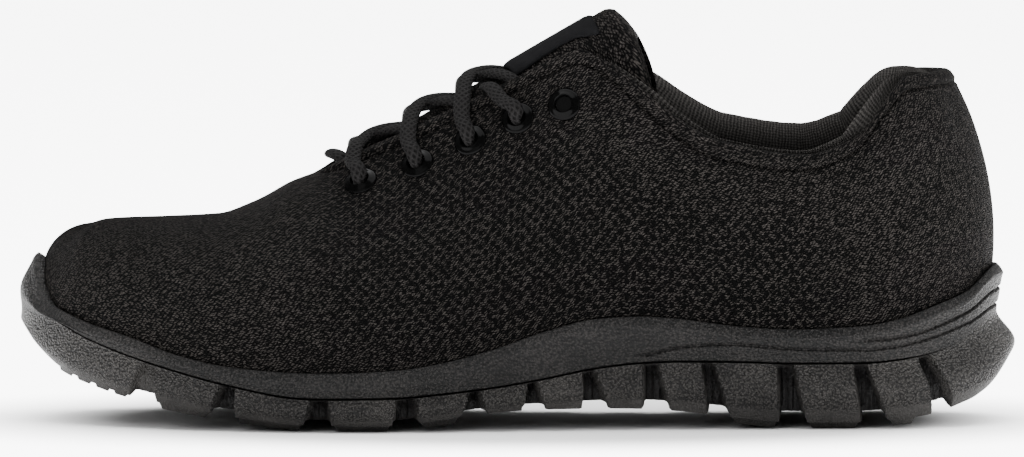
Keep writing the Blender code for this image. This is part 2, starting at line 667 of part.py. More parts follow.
def build_upper(collection, cutters):
    """Upper: one hollow wall, open at the throat and collar and underneath, with ten eyelet holes."""
    share = body_stations()
    outside, inside, arrivals, ridge = upper_faces(share)
    last_ridge = int(np.flatnonzero(ridge)[-1])
    vertices, faces = [], []
    for side in (0, 1):
        middle = (outside[side][:, -1] + inside[side][:, -1]) / 2
        half = (outside[side][:, -1] - inside[side][:, -1]) / 2
        size = np.linalg.norm(half, axis=-1, keepdims=True)
        outward = arrivals[side].copy()
        outward[last_ridge] = (1.0, 0.0, 0.0)
        rims = [middle + half * math.cos(a) + outward * size * math.sin(a) for a in (math.pi / 3, 2 * math.pi / 3)]
        rows = np.concatenate([
            outside[side],
            np.stack(rims, axis=1),
            inside[side][:, ::-1],
            outside[side][:, :1],
        ], axis=1)
        points = rows.shape[1]
        edge = outside[side].shape[1] - 1
        base = len(vertices)
        vertices.extend(rows.reshape(-1, 3))
        for i in range(len(share) - 1):
            for j in range(points - 1):
                if i < last_ridge and edge <= j < edge + 3:
                    continue
                a = base + i * points + j
                quad = (a, a + points, a + points + 1, a + 1)
                faces.append(quad if side == 0 else quad[::-1])
    piece = add_object("upper", closed_mesh("upper", vertices, faces), "mesh", collection)
    for number, spot in enumerate(eyelet_spots()):
        bpy.ops.mesh.primitive_cylinder_add(vertices=12, radius=EYELET_BARREL + GAP, depth=0.02)
        cutter = bpy.context.object
        cutter.name = f"eyelet_hole_{number}"
        cutter.matrix_world = spot
        cutter.hide_render = True
        cutter.display_type = "WIRE"
        for owner in cutter.users_collection:
            owner.objects.unlink(cutter)
        cutters.objects.link(cutter)
        cut = piece.modifiers.new(cutter.name, "BOOLEAN")
        cut.object = cutter
        cut.operation = "DIFFERENCE"
        cut.solver = "EXACT"
    return piece


SPOT_STEP = 0.004


def surface_spot(along, side, reach):
    """Point on the upper, its outward normal and its upward direction, a given way down from its edge."""
    share = np.array([along - SPOT_STEP, along, along + SPOT_STEP])
    steps = np.linspace(0, 1, 200)
    grid, _ = upper_outside(share, side, steps)
    points = []
    for row in grid:
        lengths = np.linalg.norm(np.diff(row, axis=0), axis=-1)
        walked = np.concatenate([[0.0], np.cumsum(lengths[::-1])])
        points.append([np.interp(reach, walked, row[::-1, axis]) for axis in range(3)])
        if len(points) == 2:
            above = [np.interp(reach - GAP, walked, row[::-1, axis]) for axis in range(3)]
    points = np.array(points)
    up = unit(np.array(above) - points[1])
    forward = unit(points[2] - points[0])
    normal = np.cross(forward, up) if side == OUTER else np.cross(up, forward)
    return points[1], unit(normal), up


def frame_matrix(point, normal, up):
    """Placement with Z along the normal and Y upwards."""
    z = Vector(normal)
    x = Vector(up).cross(z).normalized()
    y = z.cross(x)
    matrix = Matrix((x, y, z)).transposed().to_4x4()
    matrix.translation = Vector(point)
    return matrix


def eyelet_spots():
    """Placements of the ten eyelets, outer side first."""
    spots = []
    for side in (OUTER, INNER):
        for eyelet in EYELETS:
            spots.append(frame_matrix(*surface_spot(eyelet.along, side, eyelet.reach * EYELET_REACH)))
    return spots


def build_eyelets(collection):
    """Eyelets: turned rings, each with a rolled flange on the upper and a barrel through it."""
    low = -WALL
    seat = 2 * GAP
    top = seat + EYELET_FLANGE
    profile = (
        (EYELET_BARREL, low),
        (EYELET_BARREL, seat),
        (EYELET_RADIUS, seat),
        ((EYELET_RADIUS + EYELET_BORE) / 2, top),
        (EYELET_BORE, seat),
        (EYELET_BORE, low),
    )
    for number, spot in enumerate(eyelet_spots()):
        side = "outer" if number < len(EYELETS) else "inner"
        mesh = bpy.data.meshes.new("eyelet")
        points = [(radius, 0.0, z) for radius, z in profile]
        edges = [(i, (i + 1) % len(points)) for i in range(len(points))]
        mesh.from_pydata(points, edges, [])
        piece = add_object(f"eyelet_{side}_{number % len(EYELETS) + 1}", mesh, "enamel", collection)
        turn = piece.modifiers.new("turn", "SCREW")
        turn.steps = turn.render_steps = 12
        turn.use_merge_vertices = True
        turn.merge_threshold = WELD
        turn.use_normal_calculate = True
        turn.use_normal_flip = True
        piece.matrix_world = spot


def tongue_top():
    """Upper face of the tongue: under the edges of the throat, and arched between them up to its crown."""
    share = body_stations()
    _, inside, arrivals, _ = upper_faces(share)
    along = edge_share(share)
    kept = (along > THROAT_START - TONGUE_UNDER) & (along < TONGUE_TOP)
    along = along[kept]
    progress = np.clip((along - THROAT_START) / (along[-1] - THROAT_START), 0, 1)
    crown_share = between(THROAT_START, TONGUE_CROWN_TOP, progress * (1.1 - 0.1 * progress))
    crown_share = np.where(along < THROAT_START, along, crown_share)
    crown = (inside[0][kept, -1] + inside[1][kept, -1]) / 2
    line = between(TONGUE_FOOT_HEIGHT, TONGUE_HEIGHT, (crown_share - THROAT_START) / (TONGUE_CROWN_TOP - THROAT_START))
    crown[:, 0] = (crown_share - 0.5) * LENGTH
    crown[:, 2] = between(crown[:, 2] - TONGUE_GAP, line, ease((along - THROAT_START) / TONGUE_EMERGES))
    halves = []
    for side in (0, 1):
        lap = inside[side] - facing(inside[side], (OUTER, INNER)[side]) * TONGUE_GAP
        lap = lap[kept, -3:]
        start = lap[:, -1]
        span = np.linalg.norm(crown - start, axis=-1)[:, None]
        across = np.array([0.0, 1.0 if side == 0 else -1.0, 0.0])
        first = start + arrivals[side][kept] * span * TONGUE_HANDLE
        last = crown - across * span * TONGUE_HANDLE
        u = np.linspace(0, 1, TONGUE_ARC + 1)[1:, None, None]
        arc = (1 - u) ** 3 * start + 3 * u * (1 - u) ** 2 * first + 3 * u * u * (1 - u) * last + u ** 3 * crown
        halves.append(np.concatenate([lap, np.moveaxis(arc, 0, 1)], axis=1))
    top = np.concatenate([halves[0], halves[1][:, -2::-1]], axis=1)
    slant = math.radians(TONGUE_SLOPE)
    centre = crown + TONGUE_CURL * np.array([math.sin(slant), 0.0, -math.cos(slant)])
    return along, progress, top, unit(top - centre[:, None])


def tongue_spot(along, across):
    """Point on the tongue and its outward direction; across runs from one edge of the throat to the other."""
    rows, _, top, outward = tongue_top()
    row = np.interp(along, rows, np.arange(len(rows)))
    column = top.shape[1] // 2 + across * TONGUE_ARC
    i, j = int(min(row, len(rows) - 2)), int(min(column, top.shape[1] - 2))
    found = []
    for grid in (top, outward):
        near = between(grid[i, j], grid[i, j + 1], column - j)
        far = between(grid[i + 1, j], grid[i + 1, j + 1], column - j)
        found.append(between(near, far, row - i))
    return found[0], unit(found[1])


def build_tongue(collection):
    """Tongue: one padded solid, thin under the vamp and thick at its free top."""
    _, progress, top, outward = tongue_top()
    rows, points = top.shape[:2]
    thickness = between(TONGUE_THICKNESS, TONGUE_PADDING, ease(progress))[:, None, None]
    low = top - outward * thickness
    vertices = np.concatenate([top.reshape(-1, 3), low.reshape(-1, 3)])
    faces = []
    for i in range(rows - 1):
        for j in range(points - 1):
            a = i * points + j
            faces.append((a, a + points, a + points + 1, a + 1))
            b = a + rows * points
            faces.append((b, b + 1, b + points + 1, b + points))
    border = [(i * points, (i + 1) * points) for i in range(rows - 1)]
    border += [((i + 1) * points + points - 1, i * points + points - 1) for i in range(rows - 1)]
    border += [(j + 1, j) for j in range(points - 1)]
    border += [((rows - 1) * points + j, (rows - 1) * points + j + 1) for j in range(points - 1)]
    for a, b in border:
        faces.append((b, a, a + rows * points, b + rows * points))
    return add_object("tongue", closed_mesh("tongue", vertices, faces), "lining", collection)


def build_label(collection):
    """Label: a thin blank patch over the crown of the tongue."""
    rows, _, _, _ = tongue_top()
    inner_rows = rows[(rows > LABEL_START) & (rows < LABEL_END)]
    along = np.concatenate([[LABEL_START], inner_rows, [LABEL_END]])
    across = np.arange(-LABEL_COLUMNS, LABEL_COLUMNS + 1) / TONGUE_ARC
    layers = []
    for height in (2 * GAP, 2 * GAP + LABEL_THICKNESS):
        spots = [[tongue_spot(a, c) for c in across] for a in along]
        layers.append([point + outward * height for row in spots for point, outward in row])
    low, top = layers
    rows, points = len(along), len(across)
    count = rows * points
    faces = []
    for i in range(rows - 1):
        for j in range(points - 1):
            a = i * points + j
            faces.append((a, a + 1, a + points + 1, a + points))
            faces.append((a + count, a + points + count, a + points + 1 + count, a + 1 + count))
    rim = [j for j in range(points)]
    rim += [i * points + points - 1 for i in range(1, rows)]
    rim += [(rows - 1) * points + j for j in range(points - 2, -1, -1)]
    rim += [i * points for i in range(rows - 2, 0, -1)]
    for a, b in zip(rim, rim[1:] + rim[:1]):
        faces.append((a, b, b + count, a + count))
    mesh = closed_mesh("tongue_label", low + top, faces)
    return add_object("tongue_label", mesh, "label", collection)


TUBE_STEPS = 3


def tube(name, route, collection):
    """Round cord along a smooth curve through its route, as a closed mesh."""
    route = np.array(route)
    padded = np.concatenate([[2 * route[0] - route[1]], route, [2 * route[-1] - route[-2]]])
    points = []
    for i in range(1, len(padded) - 2):
        for u in np.arange(TUBE_STEPS) / TUBE_STEPS:
            a, b, c, d = padded[i - 1:i + 3]
            points.append(0.5 * (2 * b + (c - a) * u + (2 * a - 5 * b + 4 * c - d) * u * u
                                 + (3 * b - a - 3 * c + d) * u ** 3))
    points.append(route[-1])
    curve = bpy.data.curves.new(name, "CURVE")
    curve.dimensions = "3D"
    curve.bevel_depth = LACE_RADIUS
    curve.bevel_resolution = 1
    curve.use_fill_caps = True
    spline = curve.splines.new("POLY")
    spline.points.add(len(points) - 1)
    for spot, point in zip(spline.points, points):
        spot.co = (*point, 1.0)
    drawn = bpy.data.objects.new(name, curve)
    collection.objects.link(drawn)
    evaluated = drawn.evaluated_get(bpy.context.evaluated_depsgraph_get())
    mesh = bpy.data.meshes.new_from_object(evaluated)
    form = bmesh.new()
    form.from_mesh(mesh)
    bmesh.ops.remove_doubles(form, verts=form.verts, dist=WELD)
    bmesh.ops.recalc_face_normals(form, faces=form.faces)
    form.to_mesh(mesh)
    form.free()
    bpy.data.objects.remove(drawn, do_unlink=True)
    return mesh


# Where a lace crosses the edge of the throat, then the tongue: the way to the next pair, the way across,
# and how far it climbs over the edge and over the other lace
EDGE_AHEAD = 0.22
EDGE_REACH = 0.25
EDGE_RISE = 0.40
Crossing = namedtuple("Crossing", "along across climb rise")
CROSSING = (
    Crossing(0.44, 0.62, 1.0, 0.7),
    Crossing(0.62, 0.00, 0.5, 1.0),
    Crossing(0.80, -0.50, 0.5, 0.0),
)
BAR_HALF = 0.45


def crossing_route(number, side, lift):
    """Route of a lace from one laced eyelet, over the edge and the tongue, to the far side of the next pair."""
    near, far = EYELETS[number], EYELETS[number + 1]
    pitch = far.along - near.along
    above = LACE_RADIUS + LACE_CLEAR
    point, normal, _ = surface_spot(near.along, side, near.reach * EYELET_REACH)
    route = [point + normal * (2 * GAP + EYELET_FLANGE + above)]
    point, normal, _ = surface_spot(near.along + EDGE_AHEAD * pitch, side, EDGE_REACH * EYELET_REACH)
    route.append(point + normal * (above + EDGE_RISE * lift))
    edge = WALL + TONGUE_GAP
    for along, across, climb, rise in CROSSING:
        point, outward = tongue_spot(near.along + along * pitch, across * side)
        route.append(point + outward * (above + climb * edge + rise * lift))
    return route


def build_laces(collection, cutters):
    """Laces: a joined solid where two laces cross between each pair of eyelets, and a bar at the bottom."""
    for number in range(LACED - 1):
        name = f"lace_crossing_{number + 1}"
        lower = tube(name, crossing_route(number, OUTER, 0.0), collection)
        piece = add_object(name, lower, "braid", collection)
        upper = tube(f"{name}_over", crossing_route(number, INNER, LACE_LIFT), collection)
        over = add_object(f"{name}_over", upper, "braid", cutters)
        over.hide_render = True
        over.display_type = "WIRE"
        join = piece.modifiers.new("join", "BOOLEAN")
        join.object = over
        join.operation = "UNION"
        join.solver = "EXACT"
    route = []
    for across in np.linspace(-BAR_HALF, BAR_HALF, 5):
        point, outward = tongue_spot(LACE_BAR, across)
        route.append(point + outward * (LACE_RADIUS + LACE_CLEAR))
    add_object("lace_bar", tube("lace_bar", route, collection), "braid", collection)


def main():
    """Clear the scene and build every piece of the shoe."""
    for old in list(bpy.data.objects):
        bpy.data.objects.remove(old, do_unlink=True)
    shoe = bpy.data.collections.new("work_shoe")
    cutters = bpy.data.collections.new("cutters")
    bpy.context.scene.collection.children.link(shoe)
    bpy.context.scene.collection.children.link(cutters)
    build_outsole(shoe)
    build_midsole(shoe)
    build_insole(shoe)
    build_upper(shoe, cutters)
    build_tongue(shoe)
    build_eyelets(shoe)
    build_label(shoe)
    build_laces(shoe, cutters)


main()
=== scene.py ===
"""Looks of a low black mesh lace-up work shoe for the left foot, laid out as an add-on.

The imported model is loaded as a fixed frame, and every piece here is worked out from the shoe's own sizes.
The toe points towards -X, the outer side faces -Y, and the shoe stands on the floor at z = 0.
"""
import math
from collections import namedtuple

import bmesh
import bpy
import numpy as np
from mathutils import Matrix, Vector

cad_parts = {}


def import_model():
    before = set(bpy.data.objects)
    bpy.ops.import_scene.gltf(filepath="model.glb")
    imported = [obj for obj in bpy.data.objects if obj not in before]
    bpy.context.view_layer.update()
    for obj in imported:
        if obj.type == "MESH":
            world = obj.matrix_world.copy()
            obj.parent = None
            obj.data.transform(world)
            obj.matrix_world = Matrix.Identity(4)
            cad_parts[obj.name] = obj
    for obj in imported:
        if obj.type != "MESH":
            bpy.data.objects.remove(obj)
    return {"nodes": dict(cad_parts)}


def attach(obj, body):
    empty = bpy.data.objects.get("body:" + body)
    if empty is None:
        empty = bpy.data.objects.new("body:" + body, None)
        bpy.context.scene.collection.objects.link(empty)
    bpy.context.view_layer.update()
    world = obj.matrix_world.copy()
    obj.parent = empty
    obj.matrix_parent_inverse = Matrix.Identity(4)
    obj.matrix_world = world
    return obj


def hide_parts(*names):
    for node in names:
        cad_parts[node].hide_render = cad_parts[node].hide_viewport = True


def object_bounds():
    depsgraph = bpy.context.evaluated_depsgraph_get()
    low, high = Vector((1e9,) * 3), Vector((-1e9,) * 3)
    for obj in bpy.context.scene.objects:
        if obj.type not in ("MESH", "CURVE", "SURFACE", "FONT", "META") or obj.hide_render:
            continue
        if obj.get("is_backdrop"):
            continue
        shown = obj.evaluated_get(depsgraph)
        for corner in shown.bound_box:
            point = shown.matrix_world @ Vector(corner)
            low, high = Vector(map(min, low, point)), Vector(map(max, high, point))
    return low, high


bl_info = {
    "name": "Work shoe looks",
    "version": (1, 0, 0),
    "blender": (4, 5, 0),
    "location": "View3D > Sidebar > Work shoe",
    "description": "Knitted upper, moulded sole, tongue, eyelets and laces of a low work shoe",
    "category": "Object",
}

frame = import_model()
START_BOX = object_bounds()

# Whole shoe, in metres
LENGTH = 0.285
BALL_WIDTH = 0.104
COLLAR_HEIGHT = 0.100
SOLE_HEIGHT = 0.032
TOE_ROUND = 0.060
HEEL_ROUND = 0.040
GAP = 0.0003
WELD = 0.00001

# Sole
SIDE_FLARE = 0.0067
GROOVE_DEPTH = 0.0040
NOTCH_DEPTH = 0.0045
CLEAT_HEIGHT = 0.0018
RIM_WIDTH = 0.0055
PARTING_BEVEL = 0.0008
PARTING_GAP = 0.0005
TRAY_GAP = 0.0005
RIB_START = 0.615
LOW_RIB_START = 0.835
RIB_FADE = 0.02
LIP_BEVEL = 0.0030
LIP_SLANT = 0.0019
LIP_EDGE = 0.0010
BUMPER_RISE = 0.0112
BUMPER_HALF_WIDTH = 0.020
FULLEST = 0.48
ARCH_START = 0.46
ARCH_END = 0.69

# Upper
WALL = 0.0018
TUCK = 0.0020
TOE_SETBACK = 0.020
HEEL_SETBACK = 0.018
SETBACK_START = 0.70
THROAT_START = 0.295
THROAT_ROUND = 0.010
HEEL_OPENING_ROUND = 0.022
MEDIAL_RISE = 0.0040
OUTWARD_LEAN = 0.12
COLLAR_PADDING = 0.0065
PADDING_START = 0.55
PADDING_SPAN = 0.35
SPOT_STEP = 0.004

# Tongue and eyelets
TONGUE_TOP = 0.645
TONGUE_UNDER = 0.040
TONGUE_GAP = 0.0018
TONGUE_CROWN_TOP = 0.598
TONGUE_HANDLE = 0.4
TONGUE_THICKNESS = 0.0030
TONGUE_FOOT_HEIGHT = 0.0690
TONGUE_HEIGHT = 0.1195
TONGUE_EMERGES = 0.080
TONGUE_SLOPE = 30.0
TONGUE_CURL = 0.030
EYELET_RADIUS = 0.00415
EYELET_BORE = 0.0024
EYELET_REACH = 0.0120
LACED = 4

# Detail that the surfaces add to the solids, in metres
BAND_SWELL = 0.0004
BRAID_PITCH = 0.0019
COLLAR_SEAM = 0.0040
DIP_DROP = 0.0022
# Height of the black disc that closes each eyelet's bore, painted shade in the hole
SHADE_DISC_HEIGHT = 0.0003
DROP_REACH = 0.016
EYESTAY_SEAM = 0.0030
GROOVE_WALL = 0.0009
HEEL_DROP = 0.0012
HEEL_SEAM = 0.0020
LABEL_HALF = 0.0125
LABEL_LIFT = 0.0004
LABEL_SEAM = 0.00015
LABEL_THICKNESS = 0.0007
LACE_DEPTH = 0.0028
LACE_WIDTH = 0.0047
LIP_TUCK = 0.0025
NOTCH_RIB = 0.0021
NOTCH_RIB_RISE = 0.00035
PADDED_AT = 0.012
PADDED_RISE = 0.0013
PADDED_WIDTH = 0.009
PAD_MARGIN = 0.0035
PAD_MARGIN_TOE = 0.0004
RIB_DEPTH = 0.0008
RIB_LINE = 0.00042
ROLL_RISE = 0.0008
ROLL_WIDTH = 0.0017
SEAM_DEPTH = 0.0011
SEAM_WIDTH = 0.0007
TOE_RISE = 0.0006
TOE_SWELL = 0.0006
TOE_TOOTH = 0.0056
TONGUE_END = 0.0022
TONGUE_ROUND = 0.0045
TONGUE_SEAM = 0.0008
TONGUE_STUFFED = 0.0155

# Shares: of LENGTH for the collar, label and bar, of a block's height, and the tongue's lean
COLLAR_FROM = 0.585
COLLAR_FADE = 0.03
LABEL_FROM = 0.492
LABEL_TO = 0.592
BAR_ALONG = 0.322
ROUND_FULLEST = 0.62
TAPER = 0.55
TONGUE_LEANS = 1.8

# Counts of points and strands
UPPER_COUNT = 269
MIDSOLE_COUNT = 421
OUTSOLE_COUNT = 601
RIM_STEPS = 9
BAND_STEPS = 60
BLOCK_STEPS = 30
TREAD_STEPS = 26
TONGUE_ROWS = 90
TONGUE_ARC = 14
TONGUE_LAYERS = 11
BRAID_STRANDS = 8.0

# Shares of LENGTH at which the looks change, and how long each change takes
THROAT_SEAM = (THROAT_START + 0.004, 0.015)
TOE_FADE = (0.0, 0.06)
HEEL_FADE = (0.985, 0.03)
PITS_START = (0.26, 0.12)
PITS_END = (0.86, 0.10)
PITS_LOWER = (0.5, 0.2)
TEETH_END = (0.125, 0.002)
LOW_LUGS = (0.13, 0.01)
NARROW_MARGIN = (0.15, 0.02)
PADS_START = (0.030, 0.003)
PADS_END = (0.90, 0.004)
WRINKLES_START = (0.02, 0.05)
PARTED = (0.028, 0.02)
TOE_END = (0.08, 0.07)
ROUND_TOE = (0.10, 0.07)
ROUND_HEEL = (0.90, 0.07)
DIP = (0.62, 0.08)
DIP_END = (0.80, 0.06)
HEEL_SEAM_FROM = (0.62, 0.24)
EYESTAY_END = (0.90, 0.07)

# Stage
VIEW_TARGET = (-0.0016, 0.0, 0.0546)
LIT_TARGET = (0.0, 0.0, 0.05)
FLOOR_HEIGHT = -0.0002
FLOOR_COUNT = 41
# Size along X and Y, in metres, of the painted contact shadow in the floor's glow
PAINTED_SHADOW_REACH = (0.13, 0.085)

# Plan of the sole: shares of LENGTH from the toe, and of BALL_WIDTH
Plan = namedtuple("Plan", "along centre half")
PLAN = tuple(Plan(*row) for row in (
    (0.000, 0.086, 0.404),
    (0.050, 0.079, 0.419),
    (0.105, 0.060, 0.418),
    (0.175, 0.034, 0.443),
    (0.245, 0.014, 0.480),
    (0.300, 0.002, 0.498),
    (0.340, -0.012, 0.490),
    (0.385, -0.028, 0.467),
    (0.456, -0.048, 0.413),
    (0.544, -0.058, 0.361),
    (0.630, -0.050, 0.338),
    (0.720, -0.031, 0.344),
    (0.807, -0.012, 0.358),
    (0.877, 0.000, 0.361),
    (1.000, 0.008, 0.356),
))

# Side of the sole: heights are shares of SOLE_HEIGHT, insets of SIDE_FLARE, ribs of the band's own height
SOLE_COLUMNS = "along foot parting floor lip parting_inset upper_inset foot_inset rib low_rib rim"
Sole = namedtuple("Sole", SOLE_COLUMNS)
SOLE = tuple(Sole(*row) for row in (
    (0.000, 0.844, 0.969, 0.930, 1.156, 0.03, 1.00, 0.54, 0.30, 0.60, 0.55),
    (0.014, 0.638, 0.956, 0.910, 1.125, 0.06, 0.66, 0.50, 0.30, 0.60, 0.55),
    (0.032, 0.500, 0.925, 0.870, 1.031, 0.10, 0.56, 0.46, 0.30, 0.60, 0.55),
    (0.067, 0.381, 0.781, 0.775, 0.913, 0.12, 0.56, 0.42, 0.30, 0.60, 0.55),
    (0.109, 0.278, 0.644, 0.670, 0.806, 0.14, 0.58, 0.36, 0.30, 0.60, 0.62),
    (0.158, 0.200, 0.519, 0.585, 0.659, 0.15, 0.61, 0.33, 0.30, 0.60, 0.86),
    (0.211, 0.125, 0.406, 0.490, 0.563, 0.16, 0.65, 0.30, 0.30, 0.60, 1.00),
    (0.281, 0.063, 0.303, 0.412, 0.519, 0.17, 0.68, 0.30, 0.30, 0.60, 1.00),
    (0.309, 0.05625, 0.297, 0.400, 0.516, 0.18, 0.69, 0.30, 0.30, 0.60, 1.00),
    (0.379, 0.05625, 0.306, 0.412, 0.544, 0.21, 0.70, 0.30, 0.30, 0.60, 1.00),
    (0.421, 0.097, 0.334, 0.450, 0.597, 0.24, 0.71, 0.30, 0.30, 0.60, 1.00),
    (0.470, 0.156, 0.381, 0.512, 0.703, 0.27, 0.72, 0.30, 0.28, 0.60, 1.00),
    (0.526, 0.184, 0.459, 0.588, 0.869, 0.31, 0.72, 0.30, 0.22, 0.60, 1.00),
    (0.579, 0.188, 0.550, 0.656, 0.981, 0.34, 0.72, 0.30, 0.14, 0.60, 1.00),
    (0.625, 0.181, 0.594, 0.697, 1.000, 0.36, 0.72, 0.30, 0.14, 0.60, 1.00),
    (0.660, 0.161, 0.605, 0.715, 0.978, 0.38, 0.73, 0.30, 0.36, 0.70, 1.00),
    (0.725, 0.091, 0.598, 0.728, 0.905, 0.42, 0.75, 0.30, 0.66, 0.86, 1.00),
    (0.775, 0.05625, 0.583, 0.728, 0.881, 0.46, 0.78, 0.30, 0.56, 0.86, 1.00),
    (0.845, 0.05625, 0.585, 0.725, 0.908, 0.51, 0.83, 0.31, 0.44, 0.84, 1.00),
    (0.877, 0.075, 0.606, 0.755, 0.956, 0.54, 0.87, 0.36, 0.40, 0.75, 1.00),
    (0.919, 0.119, 0.666, 0.790, 1.081, 0.60, 0.92, 0.44, 0.39, 0.67, 1.00),
    (0.951, 0.194, 0.756, 0.800, 1.194, 0.68, 0.96, 0.58, 0.42, 0.72, 0.62),
    (0.979, 0.272, 0.922, 0.810, 1.390, 0.76, 0.99, 0.78, 0.30, 0.66, 0.34),
    (1.000, 0.531, 1.000, 0.820, 1.422, 0.79, 1.00, 0.87, 0.25, 0.66, 0.34),
))

# Grooves across the tread, toe first: shares of LENGTH at the parting line and the foot, share of the notch
Groove = namedtuple("Groove", "fore aft foot_fore foot_aft notch")
GROOVES = tuple(Groove(*row) for row in (
    (0.1228, 0.1368, 0.1090, 0.1350, 0.60),
    (0.2018, 0.2158, 0.1916, 0.2158, 1.00),
    (0.2933, 0.3105, 0.2860, 0.3133, 1.00),
    (0.3800, 0.3993, 0.3765, 0.4018, 1.00),
    (0.4533, 0.4635, 0.4450, 0.4695, 1.00),
    (0.5116, 0.5200, 0.5060, 0.5288, 1.00),
    (0.5670, 0.5775, 0.5653, 0.5912, 1.00),
    (0.6263, 0.6404, 0.6263, 0.6523, 1.00),
    (0.6839, 0.6961, 0.6909, 0.7120, 1.00),
    (0.7590, 0.7761, 0.7621, 0.7884, 1.00),
    (0.8354, 0.8495, 0.8442, 0.8702, 1.00),
    (0.9053, 0.9193, 0.9190, 0.9400, 1.00),
))

# Top edge of the upper: shares of COLLAR_HEIGHT and BALL_WIDTH, angle in degrees, share of COLLAR_PADDING
Edge = namedtuple("Edge", "along height centre half angle padding medial")
EDGE = tuple(Edge(*row) for row in (
    (0.070, 0.558, 0.070, 0.062, 0.0, 0.28, 0.0),
    (0.095, 0.572, 0.068, 0.062, 0.0, 0.28, 0.0),
    (0.150, 0.578, 0.062, 0.062, 0.0, 0.28, 0.0),
    (0.200, 0.586, 0.055, 0.062, 0.0, 0.28, 0.0),
    (0.232, 0.618, 0.048, 0.062, 0.0, 0.28, 0.0),
    (0.267, 0.673, 0.041, 0.062, 0.0, 0.28, 0.0),
    (0.295, 0.703, 0.034, 0.064, 4.0, 0.30, 0.0),
    (0.333, 0.758, 0.023, 0.088, 42.0, 0.32, 0.0),
    (0.386, 0.826, 0.010, 0.110, 54.0, 0.32, 0.0),
    (0.442, 0.904, -0.002, 0.133, 60.0, 0.32, 0.0),
    (0.498, 0.984, -0.011, 0.156, 65.0, 0.32, 0.0),
    (0.547, 1.054, -0.018, 0.178, 70.0, 0.34, 0.0),
    (0.563, 1.066, -0.020, 0.187, 72.0, 0.40, 0.05),
    (0.579, 1.046, -0.020, 0.200, 75.0, 0.55, 0.15),
    (0.611, 0.984, -0.019, 0.227, 78.0, 0.85, 0.50),
    (0.649, 0.894, -0.017, 0.262, 80.0, 1.00, 0.90),
    (0.702, 0.822, -0.014, 0.300, 82.0, 1.00, 1.00),
    (0.786, 0.783, -0.005, 0.317, 80.0, 1.00, 1.00),
    (0.835, 0.816, 0.000, 0.294, 78.0, 1.00, 0.90),
    (0.867, 0.922, 0.003, 0.257, 75.0, 1.00, 0.50),
    (0.891, 0.988, 0.005, 0.216, 72.0, 1.00, 0.0),
    (0.937, 1.000, 0.008, 0.173, 65.0, 1.00, 0.0),
))

# Fullness of the upper: the pull of its side and of its top on each cross-section
Fullness = namedtuple("Fullness", "along side top")
FULLNESS = tuple(Fullness(*row) for row in (
    (0.00, 0.22, 0.50),
    (0.07, 0.42, 0.48),
    (0.21, 0.48, 0.45),
    (0.35, 0.42, 0.38),
    (0.53, 0.38, 0.33),
    (0.70, 0.36, 0.33),
    (1.00, 0.36, 0.35),
))

# Eyelets on each side: share of LENGTH, and the way down from the edge as a share of EYELET_REACH
Eyelet = namedtuple("Eyelet", "along reach")
EYELETS = tuple(Eyelet(*row) for row in (
    (0.343, 0.95),
    (0.397, 1.00),
    (0.450, 1.00),
    (0.498, 1.00),
    (0.545, 1.20),
))

# Main creases: share of LENGTH, share of COLLAR_HEIGHT, slant in degrees from upright,
# then width, reach and depth in metres. They are the same on both sides
Crease = namedtuple("Crease", "along height slant width reach depth")
CREASES = tuple(Crease(*row) for row in (
    (0.275, 0.55, 28.0, 0.0060, 0.020, -0.0005),
    (0.310, 0.56, 24.0, 0.0050, 0.018, 0.0004),
    (0.345, 0.50, 20.0, 0.0060, 0.020, -0.0004),
    (0.640, 0.66, -35.0, 0.0070, 0.022, -0.0005),
    (0.700, 0.62, -25.0, 0.0080, 0.020, 0.0004),
))

# Lace: rises (outward, upward) at its eyelet, edges (ahead, reach, outward, upward) over the throat's edge,
# and crosses (ahead, across, outward, share of LACE_OVER) on the tongue. Ahead is a share of the pitch
Run = namedtuple("Run", "rises edges crosses")
STRAND = Run(
    ((-0.0035, -0.0006), (0.0006, 0.0), (0.0030, 0.0022)),
    ((-0.08, 0.45, 0.0026, 0.0), (-0.06, 0.04, 0.0018, 0.0012)),
    (
        (0.06, 0.55, 0.0034, 0.3), (0.32, 0.0, 0.0014, 1.0),
        (0.62, -0.55, 0.0018, 0.0), (0.92, -1.0, 0.0012, 0.0),
    ),
)
LACE_END = Run(
    ((-0.0035, -0.0006), (0.0008, 0.0), (0.0030, 0.0024)),
    ((-0.012, 0.45, 0.0026, 0.0), (-0.022, 0.04, 0.0016, 0.0008)),
    ((-0.030, 0.75, 0.0010, 0.0),),
)
BAR = ((-1.0, 0.0010), (-0.6, 0.0032), (0.0, 0.0050), (0.6, 0.0032), (1.0, 0.0010))
LACE_OVER = (0.0017, 0.0)

# Section of the midsole's lip: shares of LIP_SLANT inward and of LIP_BEVEL down
LIP_COLUMNS = slice(-8, -4)
LIP = ((0.12, 0.80), (0.45, 0.42), (0.88, 0.08), (1.0, 0.0))

# Turned profile of an eyelet: radius and height, in metres. Its first two points close the bore with a flat
# black disc, painted shade in the hole
PROFILE = (
    (0.00001, SHADE_DISC_HEIGHT), (EYELET_BORE * 0.95, SHADE_DISC_HEIGHT), (EYELET_BORE * 0.99, 0.0005),
    (EYELET_BORE, 0.0008), (EYELET_BORE + 0.00015, 0.0012), (EYELET_BORE + 0.0004, 0.00142),
    (EYELET_BORE + 0.0007, 0.0013), (EYELET_BORE + 0.0011, 0.0010), (EYELET_RADIUS, 0.0007),
    (EYELET_RADIUS + 0.0006, 0.0005), (EYELET_RADIUS + 0.0007, 0.0002), (EYELET_RADIUS + 0.0006, -0.0002),
)

OUTER, INNER = -1, 1
MATH = "ShaderNodeMath"
RANGE = "ShaderNodeMapRange"
CHEVRON = 0.30
TURN = 2 * math.pi
EDGE_ZONE = -1.0
LINING_ZONE = -2.0
MADE = {}


